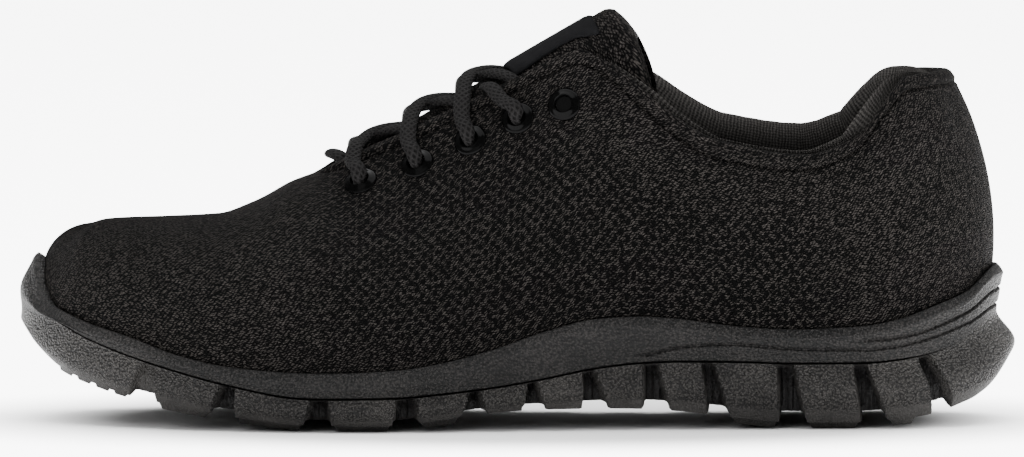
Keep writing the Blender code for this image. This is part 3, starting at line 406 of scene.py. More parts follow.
def smooth(table, column, along):
    """Read one column of a table at shares of the length, on cubics that never overshoot the rows."""
    rows = np.array([row.along for row in table])
    values = np.array([getattr(row, column) for row in table])
    steps = np.diff(rows)
    slopes = np.diff(values) / steps
    tangents = np.zeros_like(values)
    tangents[0] = slopes[0]
    tangents[-1] = slopes[-1]
    product = slopes[:-1] * slopes[1:]
    total = slopes[:-1] + slopes[1:]
    turning = product <= 0
    tangents[1:-1] = np.where(turning, 0.0, 2 * product / np.where(turning, 1.0, total))
    along = np.clip(np.asarray(along, dtype=float), rows[0], rows[-1])
    index = np.clip(np.searchsorted(rows, along, side="right") - 1, 0, len(steps) - 1)
    step = steps[index]
    u = (along - rows[index]) / step
    return (
        values[index] * (1 + 2 * u) * (1 - u) ** 2
        + tangents[index] * step * u * (1 - u) ** 2
        + values[index + 1] * u * u * (3 - 2 * u)
        + tangents[index + 1] * step * u * u * (u - 1)
    )


def ease(value):
    """Smooth step from 0 to 1."""
    value = np.clip(value, 0.0, 1.0)
    return value * value * (3 - 2 * value)


def round_end(distance, radius):
    """Quarter of an ellipse: 0 at the end, 1 from one radius on."""
    return np.sqrt(1 - (1 - np.clip(distance / radius, 0.0, 1.0)) ** 2)


def outline(angle):
    """Sole's widest outline from above; the angle runs from the toe, along the outer side, to the heel."""
    share = (1 - np.cos(angle)) / 2
    ends = round_end(share * LENGTH, TOE_ROUND) * round_end((1 - share) * LENGTH, HEEL_ROUND)
    side = -np.sign(np.sin(angle))
    centre = smooth(PLAN, "centre", share)
    half = smooth(PLAN, "half", share)
    return np.stack([(share - 0.5) * LENGTH, (centre + side * ends * half) * BALL_WIDTH], axis=-1)


def inset_point(share, side, inset):
    """Points that lie inset from the outline, on one side, at shares of the length."""
    angle = np.arccos(np.clip(1 - 2 * np.asarray(share, dtype=float), -1, 1))
    angle = angle if side == OUTER else TURN - angle
    nudge = 0.0005
    tangent = outline(angle + nudge) - outline(angle - nudge)
    tangent /= np.linalg.norm(tangent, axis=-1, keepdims=True)
    inward = np.stack([-tangent[..., 1], tangent[..., 0]], axis=-1)
    return outline(angle) + inward * np.asarray(inset)[..., None], inward


def share_of(x):
    """Share of the length from the toe at a place along X."""
    return x / LENGTH + 0.5


def sole_height(column, x):
    """Height of one of the sole's lines above the floor."""
    return smooth(SOLE, column, share_of(x)) * SOLE_HEIGHT


def lip_height(x, y):
    """Top of the midsole's lip, with the bumper that climbs over the toe."""
    toe_y = PLAN[0].centre * BALL_WIDTH
    off = np.clip(np.abs(y - toe_y) / BUMPER_HALF_WIDTH, 0, 1)
    front = share_of(x) < TOE_SETBACK / LENGTH
    return sole_height("lip", x) + np.where(front, BUMPER_RISE * (1 - off ** 2) ** 2, 0.0)


def after(share, change):
    """0 before a change along the shoe, 1 after it."""
    return ease((share - change[0]) / change[1])


def before(share, change):
    """1 well before a place along the shoe, 0 from there on."""
    return ease((change[0] - share) / change[1])


def raised(flat, height):
    """Join points in plan and their heights."""
    return np.concatenate([flat, np.asarray(height)[..., None]], axis=-1)


def between(a, b, share):
    """Point or points part of the way from a to b."""
    return a + (b - a) * share


def edge_share(share):
    """Where the top edge lies along the shoe, for a section that starts at a share of the sole."""
    toe = np.clip(1 - share / THROAT_START, 0, 1) ** 2 * TOE_SETBACK
    heel = np.clip((share - SETBACK_START) / (1 - SETBACK_START), 0, 1) ** 2 * HEEL_SETBACK
    return share + (toe - heel) / LENGTH


def edge_point(share, side):
    """Top edge of the upper: the ridge before the throat, then the eyestay's edge and the topline."""
    along = edge_share(share)
    opening_end = 1 - HEEL_SETBACK / LENGTH
    throat = round_end(np.clip(along - THROAT_START, 0, None) * LENGTH, THROAT_ROUND)
    heel = round_end(np.clip(opening_end - along, 0, None) * LENGTH, HEEL_OPENING_ROUND)
    half = smooth(EDGE, "half", along) * throat * heel * BALL_WIDTH
    y = smooth(EDGE, "centre", along) * BALL_WIDTH + side * half
    height = smooth(EDGE, "height", along) * COLLAR_HEIGHT
    if side == INNER:
        height = height + smooth(EDGE, "medial", along) * MEDIAL_RISE
    return np.stack([(along - 0.5) * LENGTH, y, height], axis=-1)


def cubic(start, first, last, end, steps):
    """Points of cubic curves at steps from 0 to 1, a row for each curve."""
    u = np.asarray(steps)[:, None, None]
    curve = (1 - u) ** 3 * start + 3 * u * (1 - u) ** 2 * first + 3 * u * u * (1 - u) * last + u ** 3 * end
    return np.moveaxis(curve, 0, 1)


def unit(vectors):
    """Vectors of length one."""
    return vectors / np.linalg.norm(vectors, axis=-1, keepdims=True)


def facing(grid, side):
    """Outward normals of a side's face, from its neighbours along and up."""
    along = np.gradient(grid, axis=0)
    up = np.gradient(grid, axis=1)
    normal = np.cross(along, up) if side == OUTER else np.cross(up, along)
    length = np.linalg.norm(normal, axis=-1, keepdims=True)
    return normal / np.where(length < 1e-12, 1.0, length)


def surface_spot(along, side, reach):
    """Point on the upper, its outward normal and its upward direction, a given way down from its edge."""
    share = np.array([along - SPOT_STEP, along, along + SPOT_STEP])
    steps = np.linspace(0, 1, 200)
    grid, _ = upper_curve(share, side, steps)
    points = []
    for row in grid:
        down = walked(row[None, ::-1])[0]
        points.append([np.interp(reach, down, row[::-1, axis]) for axis in range(3)])
        if len(points) == 2:
            above = [np.interp(reach - GAP, down, row[::-1, axis]) for axis in range(3)]
    points = np.array(points)
    up = unit(np.array(above) - points[1])
    forward = unit(points[2] - points[0])
    normal = np.cross(forward, up) if side == OUTER else np.cross(up, forward)
    return points[1], unit(normal), up


def upper_curve(share, side, steps):
    """Outer face of the upper, on cubic curves from the lip to the top edge, and their direction there."""
    share = np.asarray(share, dtype=float)
    inset = smooth(SOLE, "upper_inset", share) * SIDE_FLARE
    flat, inward = inset_point(share, side, inset)
    start = raised(flat, lip_height(flat[..., 0], flat[..., 1]) - LIP_TUCK)
    end = edge_point(share, side)
    nudge = 0.002
    slope = edge_point(share + nudge, side) - edge_point(share - nudge, side)
    ridge_slope = slope[..., 2] / np.where(np.abs(slope[..., 0]) < 1e-9, 1.0, slope[..., 0])
    angle = np.radians(smooth(EDGE, "angle", edge_share(share)))
    before_throat = ease((THROAT_START + 0.01 - edge_share(share)) / 0.06)
    level = raised(inward, inward[..., 0] * ridge_slope * before_throat)
    up = np.array([0.0, 0.0, 1.0])
    arrival = unit(level * np.cos(angle)[..., None] + up * np.sin(angle)[..., None])
    departure = unit(up - OUTWARD_LEAN * raised(inward, np.zeros(share.shape)))
    span = np.linalg.norm(end - start, axis=-1)[..., None]
    first = start + departure * span * smooth(FULLNESS, "side", share)[..., None]
    last = end - arrival * span * smooth(FULLNESS, "top", share)[..., None]
    return cubic(start, first, last, end, steps), arrival


def hill(value, width):
    """Soft bump: 1 where the value is 0, falling to 0 over about two widths, exp(-(value/width)^2)."""
    return np.exp(-(value / width) ** 2)


def walked(grid):
    """Distance from the first column along each row of a grid of points."""
    steps = np.linalg.norm(np.diff(grid, axis=1), axis=-1)
    return np.concatenate([np.zeros((len(grid), 1)), np.cumsum(steps, axis=1)], axis=1)


def body_share(count):
    """Shares of the length, close together at toe and heel, with one exactly where the throat starts."""
    share = (1 - np.cos(np.linspace(0, math.pi, count))) / 2
    nearest = int(np.argmin(np.abs(share - THROAT_START)))
    share[nearest] = THROAT_START
    return share


def upper_steps():
    """Steps of the upper's curve, a third of a millimetre apart at the edge and wider lower down."""
    near = 1 - np.linspace(0, 0.13, 34)
    low = np.linspace(0, 0.87, 52)[:-1]
    return np.concatenate([low, near[::-1]])


def creases(share, height):
    """Soft troughs and ridges: each row of CREASES is one fold, a slanted line with a hill across it."""
    total = np.zeros(np.broadcast(share, height).shape)
    for fold in CREASES:
        along = (share - fold.along) * LENGTH
        up = (height - fold.height) * COLLAR_HEIGHT
        slant = math.radians(fold.slant)
        across = along * math.cos(slant) + up * math.sin(slant)
        down = -along * math.sin(slant) + up * math.cos(slant)
        total += fold.depth * hill(across, fold.width) * hill(down, fold.reach)
    return total


def upper_grids(side):
    """Outer face with its rolled edge and seam, then the inner face, with the distances along and down."""
    share = body_share(UPPER_COUNT)
    steps = upper_steps()
    grid, arrival = upper_curve(share, side, steps)
    along = edge_share(share)
    ridge = along <= THROAT_START + 1e-9
    normal = facing(grid, side)
    from_edge = walked(grid[:, ::-1])[:, ::-1]
    collar = ease((along - COLLAR_FROM) / COLLAR_FADE)[:, None]
    eyestay = after(along, THROAT_SEAM)[:, None]
    seam_at = between(EYESTAY_SEAM, COLLAR_SEAM, collar)
    seam_at = between(seam_at, HEEL_SEAM, after(along, HEEL_SEAM_FROM)[:, None])
    eyestay = eyestay * (1 - after(along, EYESTAY_END))[:, None]
    groove = hill(from_edge - seam_at, SEAM_WIDTH) * SEAM_DEPTH * eyestay
    roll = hill(from_edge - seam_at / 2, ROLL_WIDTH) * ROLL_RISE * eyestay
    padded = hill(from_edge - PADDED_AT, PADDED_WIDTH) * PADDED_RISE * collar
    fold = creases(share[:, None], grid[..., 2] / COLLAR_HEIGHT)
    toe_fade = after(along, TOE_FADE)[:, None]
    middle = before(share, HEEL_FADE)[:, None]
    grid = grid + normal * ((roll - groove + padded * middle) + fold * toe_fade * middle)[..., None]
    return share, ridge, grid, inner_face(grid, along, side, steps), arrival, from_edge


def inner_face(grid, along, side, steps):
    """Inner face of the upper: a wall behind the outer one, thicker where the collar is padded."""
    padding = smooth(EDGE, "padding", along)[:, None] * COLLAR_PADDING
    wall = between(WALL, np.maximum(padding, WALL), ease((steps - PADDING_START) / PADDING_SPAN))
    return grid - facing(grid, side) * wall[..., None]


def tongue_rows(rows):
    """Upper face of the tongue: under the throat's edges, and arched between them up to the crown."""
    first, last = THROAT_START - TONGUE_UNDER, TONGUE_TOP
    along = np.linspace(first + 0.001, last - 0.025, rows)
    sides = []
    for side in (OUTER, INNER):
        steps = np.linspace(0, 1, 12)
        grid, arrival = upper_curve(along_to_share(along), side, steps)
        sides.append((inner_face(grid, along, side, steps), arrival))
    return along, sides


def along_to_share(along):
    """Share of the sole under a share of the top edge: the same between the toe's and heel's setbacks."""
    toe = np.clip(1 - along / THROAT_START, 0, 1) ** 2 * TOE_SETBACK / LENGTH
    return along - toe


def tongue_top():
    """Grid of the tongue's upper face, from the outer edge over the crown to the inner edge."""
    along, sides = tongue_rows(TONGUE_ROWS)
    progress = np.clip((along - THROAT_START) / (along[-1] - THROAT_START), 0, 1)
    crown_share = between(THROAT_START, TONGUE_CROWN_TOP, progress * (1.1 - 0.1 * progress))
    crown_share = np.where(along < THROAT_START, along, crown_share)
    crown = (sides[0][0][:, -1] + sides[1][0][:, -1]) / 2
    rise = (crown_share - THROAT_START) / (TONGUE_CROWN_TOP - THROAT_START)
    line = between(TONGUE_FOOT_HEIGHT, TONGUE_HEIGHT, rise)
    crown[:, 0] = (crown_share - 0.5) * LENGTH
    crown[:, 2] = between(crown[:, 2] - TONGUE_GAP, line, ease((along - THROAT_START) / TONGUE_EMERGES))
    halves = []
    for (inside, arrival), side in zip(sides, (OUTER, INNER)):
        lap = (inside - facing(inside, side) * TONGUE_GAP)[:, -5:]
        start = lap[:, -1]
        span = np.linalg.norm(crown - start, axis=-1)[:, None]
        across = np.array([0.0, -side, 0.0])
        first = start + arrival * span * TONGUE_HANDLE
        last = crown - across * span * TONGUE_HANDLE
        curve = cubic(start, first, last, crown, np.linspace(0, 1, TONGUE_ARC + 1)[1:])
        halves.append(np.concatenate([lap, curve], axis=1))
    top = np.concatenate([halves[0], halves[1][:, -2::-1]], axis=1)
    slant = math.radians(TONGUE_SLOPE)
    centre = crown + TONGUE_CURL * np.array([math.sin(slant), 0.0, -math.cos(slant)])
    return along, progress, top, unit(top - centre[:, None])


def sample(grid, row, column):
    """Points of a grid at fractional rows and columns, by bilinear mixing."""
    i = np.clip(np.floor(row).astype(int), 0, grid.shape[0] - 2)
    j = np.clip(np.floor(column).astype(int), 0, grid.shape[1] - 2)
    u, v = (row - i)[..., None], (column - j)[..., None]
    low = grid[i, j] * (1 - v) + grid[i, j + 1] * v
    high = grid[i + 1, j] * (1 - v) + grid[i + 1, j + 1] * v
    return low * (1 - u) + high * u


def grid_faces(rows, columns, flip=False, start=0):
    """Quads of a grid of points, whose corners turn the other way round when flipped."""
    corner = (np.arange(rows - 1)[:, None] * columns + np.arange(columns - 1)[None, :] + start).ravel()
    quads = np.stack([corner, corner + columns, corner + columns + 1, corner + 1], axis=-1)
    return quads[:, ::-1] if flip else quads


def surface(name, patches, finish, sharp=None):
    """One mesh from patches: each a grid of points, its pattern coordinates, its zone and its turn."""
    points, quads, coordinates, values, start = [], [], [], [], 0
    for grid, pattern, value, flip in patches:
        rows, columns = grid.shape[:2]
        points.append(grid.reshape(-1, 3))
        quads.append(grid_faces(rows, columns, flip, start))
        coordinates.append(np.broadcast_to(pattern, (rows, columns, 2)).reshape(-1, 2))
        values.append(np.broadcast_to(value, (rows, columns)).ravel())
        start += rows * columns
    points, quads = np.concatenate(points), np.concatenate(quads)
    coordinates, values = np.concatenate(coordinates), np.concatenate(values)
    mesh = bpy.data.meshes.new(name)
    mesh.vertices.add(len(points))
    mesh.vertices.foreach_set("co", points.ravel())
    mesh.loops.add(quads.size)
    mesh.loops.foreach_set("vertex_index", quads.ravel())
    mesh.polygons.add(len(quads))
    mesh.polygons.foreach_set("loop_start", np.arange(0, quads.size, 4))
    mesh.polygons.foreach_set("loop_total", np.full(len(quads), 4))
    mesh.update(calc_edges=True)
    layer = mesh.uv_layers.new(name="pattern")
    layer.data.foreach_set("uv", coordinates[quads.ravel()].ravel())
    zone = mesh.attributes.new("zone", "FLOAT", "POINT")
    zone.data.foreach_set("value", values)
    form = bmesh.new()
    form.from_mesh(mesh)
    bmesh.ops.remove_doubles(form, verts=form.verts, dist=WELD)
    bmesh.ops.dissolve_degenerate(form, dist=WELD / 2, edges=form.edges)
    form.to_mesh(mesh)
    form.free()
    mesh.polygons.foreach_set("use_smooth", np.ones(len(mesh.polygons), dtype=bool))
    if sharp:
        mesh.set_sharp_from_angle(angle=math.radians(sharp))
    mesh.validate()
    piece = bpy.data.objects.new(name, mesh)
    bpy.context.scene.collection.objects.link(piece)
    mesh.materials.append(finish)
    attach(piece, "root")
    return piece


def add_slots(piece, *materials):
    """Add a material for the faces whose lowest zone value is EDGE_ZONE, then one for LINING_ZONE."""
    values = np.empty(len(piece.data.vertices), dtype=np.float32)
    piece.data.attributes["zone"].data.foreach_get("value", values)
    lowest = np.array([values[list(face.vertices)].min() for face in piece.data.polygons])
    slots = np.zeros(len(lowest), dtype=np.int32)
    for material, zone in zip(materials, (EDGE_ZONE, LINING_ZONE)):
        piece.data.materials.append(material)
        slots += lowest < zone + 0.5
    piece.data.polygons.foreach_set("material_index", slots)
    return piece


def swept(route, width, depth, count, ups):
    """Oval cord carried along a route: its points, and its pattern coordinates along and round it."""
    tangent = unit(np.gradient(route, axis=0))
    up = unit(ups - tangent * (ups * tangent).sum(axis=-1, keepdims=True))
    aside = np.cross(tangent, up)
    turn = np.linspace(0, TURN, count)
    ring = aside[:, None] * (np.cos(turn) * width / 2)[None, :, None]
    ring = ring + up[:, None] * (np.sin(turn) * depth / 2)[None, :, None]
    grid = route[:, None] + ring
    lengths = walked(route[None])[0]
    pattern = np.stack(np.broadcast_arrays(lengths[:, None], (turn / TURN)[None, :]), axis=-1)
    return grid, pattern


def curve_through(points, count):
    """Smooth route through given points, spaced evenly, on Catmull-Rom cubics."""
    points = np.array(points, dtype=float)
    padded = np.concatenate([[2 * points[0] - points[1]], points, [2 * points[-1] - points[-2]]])
    u = np.linspace(0, len(points) - 1, 40 * len(points))
    i = np.minimum(u.astype(int), len(points) - 2)
    t = (u - i)[:, None]
    a, b, c, d = (padded[i + k] for k in range(4))
    bend, twist = 2 * a - 5 * b + 4 * c - d, 3 * b - a - 3 * c + d
    fine = 0.5 * (2 * b + (c - a) * t + bend * t ** 2 + twist * t ** 3)
    lengths = walked(fine[None])[0]
    even = np.linspace(0, lengths[-1], count)
    return np.stack([np.interp(even, lengths, fine[:, k]) for k in range(3)], axis=-1)


def outline_length(share, side):
    """Distance along the sole's outline from the toe, for pattern coordinates that don't stretch there."""
    flat, _ = inset_point(share, side, np.zeros(share.shape))
    return walked(flat[None])[0]


def with_coordinates(grid, along, side):
    """Pattern coordinates of a grid in metres: along the outline, and down its rows."""
    down = walked(grid)
    return np.stack([np.broadcast_to(side * along[:, None], down.shape), down], axis=-1)


def midsole_grid(side):
    """Side of the midsole, leaning in more and more with height, its two grooves, its lip and its tray."""
    share = body_share(MIDSOLE_COUNT)
    column = {name: smooth(SOLE, name, share)[:, None] for name in Sole._fields}
    inset_upper = column["upper_inset"] * SIDE_FLARE
    inset_parting = column["parting_inset"] * SIDE_FLARE
    inset_lip = inset_upper - TRAY_GAP - LIP_EDGE
    inset_bevel = inset_lip - LIP_SLANT
    toe = before(share, TOE_END)

    def place(inset, height_of, lift=0.0):
        flat, _ = inset_point(share, side, np.broadcast_to(inset, (len(share), 1))[:, 0])
        top = TOE_RISE * toe * (height_of is lip_height)
        return raised(flat, height_of(flat[..., 0], flat[..., 1]) + lift + top)

    def parting(x, y):
        return sole_height("parting", x)

    bevel = PARTING_BEVEL * split_at(share)[:, None]
    low = place(inset_parting, parting, bevel[:, 0])
    high = place(inset_bevel, lip_height, -LIP_BEVEL)
    inner = place(inset_parting + column["rim"] * RIM_WIDTH, parting)
    rows = [
        to_middle(inner, share),
        inner,
        place(inset_parting + bevel, parting),
        place(inset_parting + bevel / 4, parting, bevel[:, 0] / 4),
    ]
    for k in np.linspace(0, 1, BAND_STEPS):
        cut = 0.0
        for name, start in (("rib", RIB_START), ("low_rib", LOW_RIB_START)):
            band = (k - column[name]) * (high[:, 2] - low[:, 2])[:, None]
            cut = cut + RIB_DEPTH * ease((share[:, None] - start) / RIB_FADE) * hill(band, RIB_LINE)
        swell = (BAND_SWELL + TOE_SWELL * toe[:, None]) * math.sin(math.pi * k) ** 2
        inset = inset_parting + (inset_bevel - inset_parting) * k ** 2 + cut - swell
        flat, _ = inset_point(share, side, inset[:, 0])
        rows.append(raised(flat, between(low[:, 2], high[:, 2], k)))
    for slant, down in LIP:
        rows.append(place(inset_bevel + LIP_SLANT * slant, lip_height, -LIP_BEVEL * down))
    rows.append(place(inset_upper + 0.0002, lip_height))
    rows.append(place(inset_upper + 0.0008, lip_height, -0.0015))
    floor = place(inset_upper + TUCK - TRAY_GAP, lambda x, y: sole_height("floor", x))
    return share, np.stack([*rows, floor, to_middle(floor, share)], axis=1)


def split_at(share):
    """1 where a groove parts the midsole from the outsole, 0 where the toe's rubber meets it flush."""
    return 0.03 + 0.97 * after(share, PARTED)


def to_middle(row, share):
    """The same row of points moved onto the middle line, to close a surface there."""
    return np.stack([row[:, 0], smooth(PLAN, "centre", share) * BALL_WIDTH, row[:, 2]], axis=-1)


def groove_at(share, down):
    """How far a place on a block's side lies inside a groove: 0 on the block, 1 on the groove's floor."""
    cut = np.zeros(np.broadcast(share, down).shape)
    for groove in GROOVES:
        fore = between(groove.fore, groove.foot_fore, down) * LENGTH
        aft = between(groove.aft, groove.foot_aft, down) * LENGTH
        inside = np.minimum(share * LENGTH - fore, aft - share * LENGTH)
        cut = np.maximum(cut, ease(inside / GROOVE_WALL + 0.15) * groove.notch)
    return cut


def outsole_grid(side):
    """Outsole: its rim, the blocks' sides with notches between them, and the tread underneath."""
    share = body_share(OUTSOLE_COUNT)
    parting_inset = smooth(SOLE, "parting_inset", share) * SIDE_FLARE
    foot_inset = smooth(SOLE, "foot_inset", share) * SIDE_FLARE
    rim = smooth(SOLE, "rim", share) * RIM_WIDTH
    x = (share - 0.5) * LENGTH
    parting = sole_height("parting", x) - PARTING_GAP * split_at(share)
    foot = sole_height("foot", x)
    rows, depth = [], []

    def add(inset, height, cut):
        flat, _ = inset_point(share, side, inset)
        rows.append(raised(flat, height))
        depth.append(cut)

    none = np.zeros(len(share))
    add(parting_inset + rim, parting, none)
    rows[0] = to_middle(rows[0], share)
    add(parting_inset + PARTING_BEVEL / 2 * split_at(share), parting, none)
    ends = np.maximum(before(share, ROUND_TOE), after(share, ROUND_HEEL))
    fullest = between(FULLEST, ROUND_FULLEST, ends)
    taper = between(TAPER, ROUND_FULLEST, ends)
    for down in np.linspace(0, 1, BLOCK_STEPS):
        cut = groove_at(share, down) * ease(down / 0.08)
        rib = np.cos(share * LENGTH / NOTCH_RIB * TURN) * cut * NOTCH_RIB_RISE
        inset = parting_inset * (1 - ease(down / fullest))
        inset = inset + foot_inset * np.clip((down - taper) / (1 - taper), 0, 1) ** between(1.6, 2.4, ends)
        height = between(parting, foot, down)
        # Its last value is the zone: 1 where the grain is deep, 0 on the smooth lower band, -1 in the
        # notches, which the rubber darkens as painted shade
        add(inset + cut * NOTCH_DEPTH - rib, height + cut * GROOVE_DEPTH * ease((down - 0.8) / 0.2),
            (1 - ease((down - 0.74) / 0.08)) * (1 - cut) - cut)
    groove = groove_at(share, 1.0)
    for inward in np.linspace(0, 1, TREAD_STEPS)[1:]:
        flat, _ = inset_point(share, side, foot_inset + groove * NOTCH_DEPTH)
        middle = smooth(PLAN, "centre", share) * BALL_WIDTH
        flat = np.stack([flat[:, 0], between(flat[:, 1], middle, inward)], axis=-1)
        edge = np.abs(flat[:, 1] - middle)
        half = smooth(PLAN, "half", share) * BALL_WIDTH
        margin = between(PAD_MARGIN, PAD_MARGIN_TOE, before(share, NARROW_MARGIN))
        pad = ease((half - margin - edge) / 0.0012) * ease((edge - 0.0006) / 0.0008)
        pad = pad * (1 - ease(groove_at(share, 1.0) * 4)) * pad_between(share)
        lugs = pad * CLEAT_HEIGHT * between(1.0, 0.5, before(share, LOW_LUGS))
        rows.append(raised(flat, foot + groove * GROOVE_DEPTH - lugs))
        depth.append(none)
    return share, np.stack(rows, axis=1), np.stack(depth, axis=1)


def pad_between(share):
    """1 where the raised pads stand under the blocks, 0 under the arch and the rising ends."""
    bare = ease((share - ARCH_START) / 0.006) * ease((ARCH_END - share) / 0.006)
    ends = after(share, PADS_START) * before(share, PADS_END)
    teeth = ease(1.9 + 2.4 * np.cos(share * LENGTH / TOE_TOOTH * TURN))
    ends = ends * between(1.0, teeth, before(share, TEETH_END))
    for groove in GROOVES:
        near = np.minimum(np.abs(share - groove.foot_fore), np.abs(share - groove.foot_aft)) * LENGTH
        ends = ends * ease((near - 0.0006) / 0.0012)
    return (1 - bare) * ends


def linear(colour):
    """Linear channels of an sRGB hex colour."""
    channels = [int(colour[i:i + 2], 16) / 255 for i in (0, 2, 4)]
    return (*[c / 12.92 if c <= 0.04045 else ((c + 0.055) / 1.055) ** 2.4 for c in channels], 1.0)


def node(tree, kind, inputs, output=0, **attributes):
    """Add one node with its settings; an input is a number or another node's socket. Gives one output."""
    made = tree.nodes.new(kind)
    for name, value in attributes.items():
        setattr(made, name, value)
    for socket, value in inputs.items():
        if isinstance(value, bpy.types.NodeSocket):
            tree.links.new(value, made.inputs[socket])
        else:
            made.inputs[socket].default_value = value
    return made.outputs[output]


def finish(name, dark, roughness, specular=0.5, glow=0.0):
    """New Principled material, and its tree and shader to work on."""
    made = bpy.data.materials.new(name)
    made.use_nodes = True
    made.diffuse_color = linear(dark)
    shader = made.node_tree.nodes["Principled BSDF"]
    shader.inputs["Base Color"].default_value = linear(dark)
    shader.inputs["Roughness"].default_value = roughness
    shader.inputs["Specular IOR Level"].default_value = specular
    shader.inputs["Emission Strength"].default_value = glow
    return made, made.node_tree, shader


def dress(tree, shader, share, colours, height=None, depth=0.0):
    """Colour the shader between two hex colours by a share, and bump it by a height and its depth."""
    dark, light = map(linear, colours)
    mixed = node(tree, "ShaderNodeMix", {0: share, 6: dark, 7: light}, 2, data_type="RGBA")
    tree.links.new(mixed, shader.inputs["Base Color"])
    if height is not None:
        bump = node(tree, "ShaderNodeBump", {"Height": height, "Distance": depth})
        tree.links.new(bump, shader.inputs["Normal"])


def pattern_axes(tree):
    """Pattern coordinates of a piece: both at once, then along and down or round it."""
    uv = node(tree, "ShaderNodeUVMap", {}, uv_map="pattern")
    along, down = (node(tree, "ShaderNodeSeparateXYZ", {0: uv}, axis) for axis in (0, 1))
    return uv, along, down


def wave(tree, value, pitch, shape="SINE"):
    """Sine or cosine of a value, one turn for each pitch."""
    turned = node(tree, MATH, {0: value, 1: TURN / pitch}, operation="MULTIPLY")
    return node(tree, MATH, {0: turned}, operation=shape)


def knit(name, colours, stitch, course, pits, depth):
    """Engineered polyester knit, matt with a faint lustre on each yarn, and a painted highlight on each
    yarn's top with painted shade between the stitches.

    Stitches are rounded cells, a stitch long and a course high, whose rows zigzag. Where two cosines of the
    pits' pitches meet, the cloth has a small opening, dented and painted dark as the shade inside it. All
    lengths but the depth are in millimetres.
    """
    made, tree, shader = finish(name, colours[0], 0.85, 0.05)
    _, along, down = pattern_axes(tree)
    along = node(tree, MATH, {0: along, 1: 1000.0}, operation="MULTIPLY")
    down = node(tree, MATH, {0: down, 1: 1000.0}, operation="MULTIPLY")
    zigzag = node(tree, MATH, {0: along, 1: 1.6 * stitch}, operation="PINGPONG")
    shifted = node(tree, MATH, {0: zigzag, 1: CHEVRON, 2: down}, operation="MULTIPLY_ADD")
    across = node(tree, MATH, {0: along, 1: stitch}, operation="DIVIDE")
    rows = node(tree, MATH, {0: shifted, 1: course}, operation="DIVIDE")
    across = node(tree, MATH, {0: rows, 1: 0.5, 2: across}, operation="MULTIPLY_ADD")
    place = node(tree, "ShaderNodeCombineXYZ", {0: across, 1: rows})
    cell = {"Vector": place, "Scale": 1.0, "Randomness": 0.45}
    cell = node(tree, "ShaderNodeTexVoronoi", cell, "Distance")
    yarn = node(tree, RANGE, {0: cell, 1: 0.72, 2: 0.22}, interpolation_type="SMOOTHSTEP")
    patchy = node(tree, "ShaderNodeTexNoise", {"Vector": place, "Scale": 0.45, "Detail": 2.0})
    patchy = node(tree, RANGE, {0: patchy, 1: 0.25, 2: 0.75, 3: 0.45, 4: 1.0})
    height = node(tree, MATH, {0: yarn, 1: patchy}, operation="MULTIPLY")
    if pits:
        pitch_along, pitch_down, edge = pits
        first = wave(tree, along, pitch_along, "COSINE")
        second = wave(tree, down, pitch_down, "COSINE")
        meeting = node(tree, MATH, {0: first, 1: second}, operation="MULTIPLY")
        meeting = node(tree, MATH, {0: patchy, 1: -0.25, 2: meeting}, operation="MULTIPLY_ADD")
        hole = node(tree, RANGE, {0: meeting, 1: edge, 2: edge + 0.40}, interpolation_type="SMOOTHSTEP")
        zone = node(tree, "ShaderNodeAttribute", {}, "Fac", attribute_name="zone")
        hole = node(tree, MATH, {0: hole, 1: zone}, operation="MULTIPLY")
        solid = node(tree, MATH, {0: 1.0, 1: hole}, operation="SUBTRACT")
        height = node(tree, MATH, {0: height, 1: solid}, operation="MULTIPLY")
    # Colour follows the height: painted highlight on the yarns' tops, painted shade between the stitches
    # and in the pits
    shade = node(tree, RANGE, {0: height, 1: 0.30, 2: 0.95})
    dress(tree, shader, shade, colours, height, depth)
    return made


def ribbed_knit(name, colours, pitch, depth):
    """Rib-knit polyester lining: soft matt ribs across the edge, each a pitch in millimetres wide, with a
    painted highlight on the ribs and painted shade between them.
    """
    made, tree, shader = finish(name, colours[0], 0.85, 0.06)
    uv, along, down = pattern_axes(tree)
    wobble = node(tree, "ShaderNodeTexNoise", {"Vector": uv, "Scale": 500.0, "Detail": 2.0})
    rib = node(tree, MATH, {0: along, 1: 1000.0 / pitch, 2: wobble}, operation="MULTIPLY_ADD")
    stitch = node(tree, MATH, {0: down, 1: 1250.0, 2: wobble}, operation="MULTIPLY_ADD")
    height = node(tree, MATH, {0: wave(tree, rib, 1.0), 1: 0.34, 2: 0.5}, operation="MULTIPLY_ADD")
    height = node(tree, MATH, {0: wave(tree, stitch, 1.0), 1: 0.15, 2: height}, operation="MULTIPLY_ADD")
    # Colour follows the height: painted highlight on the ribs, painted shade in the grooves between them
    dress(tree, shader, height, colours, height, depth)
    return made


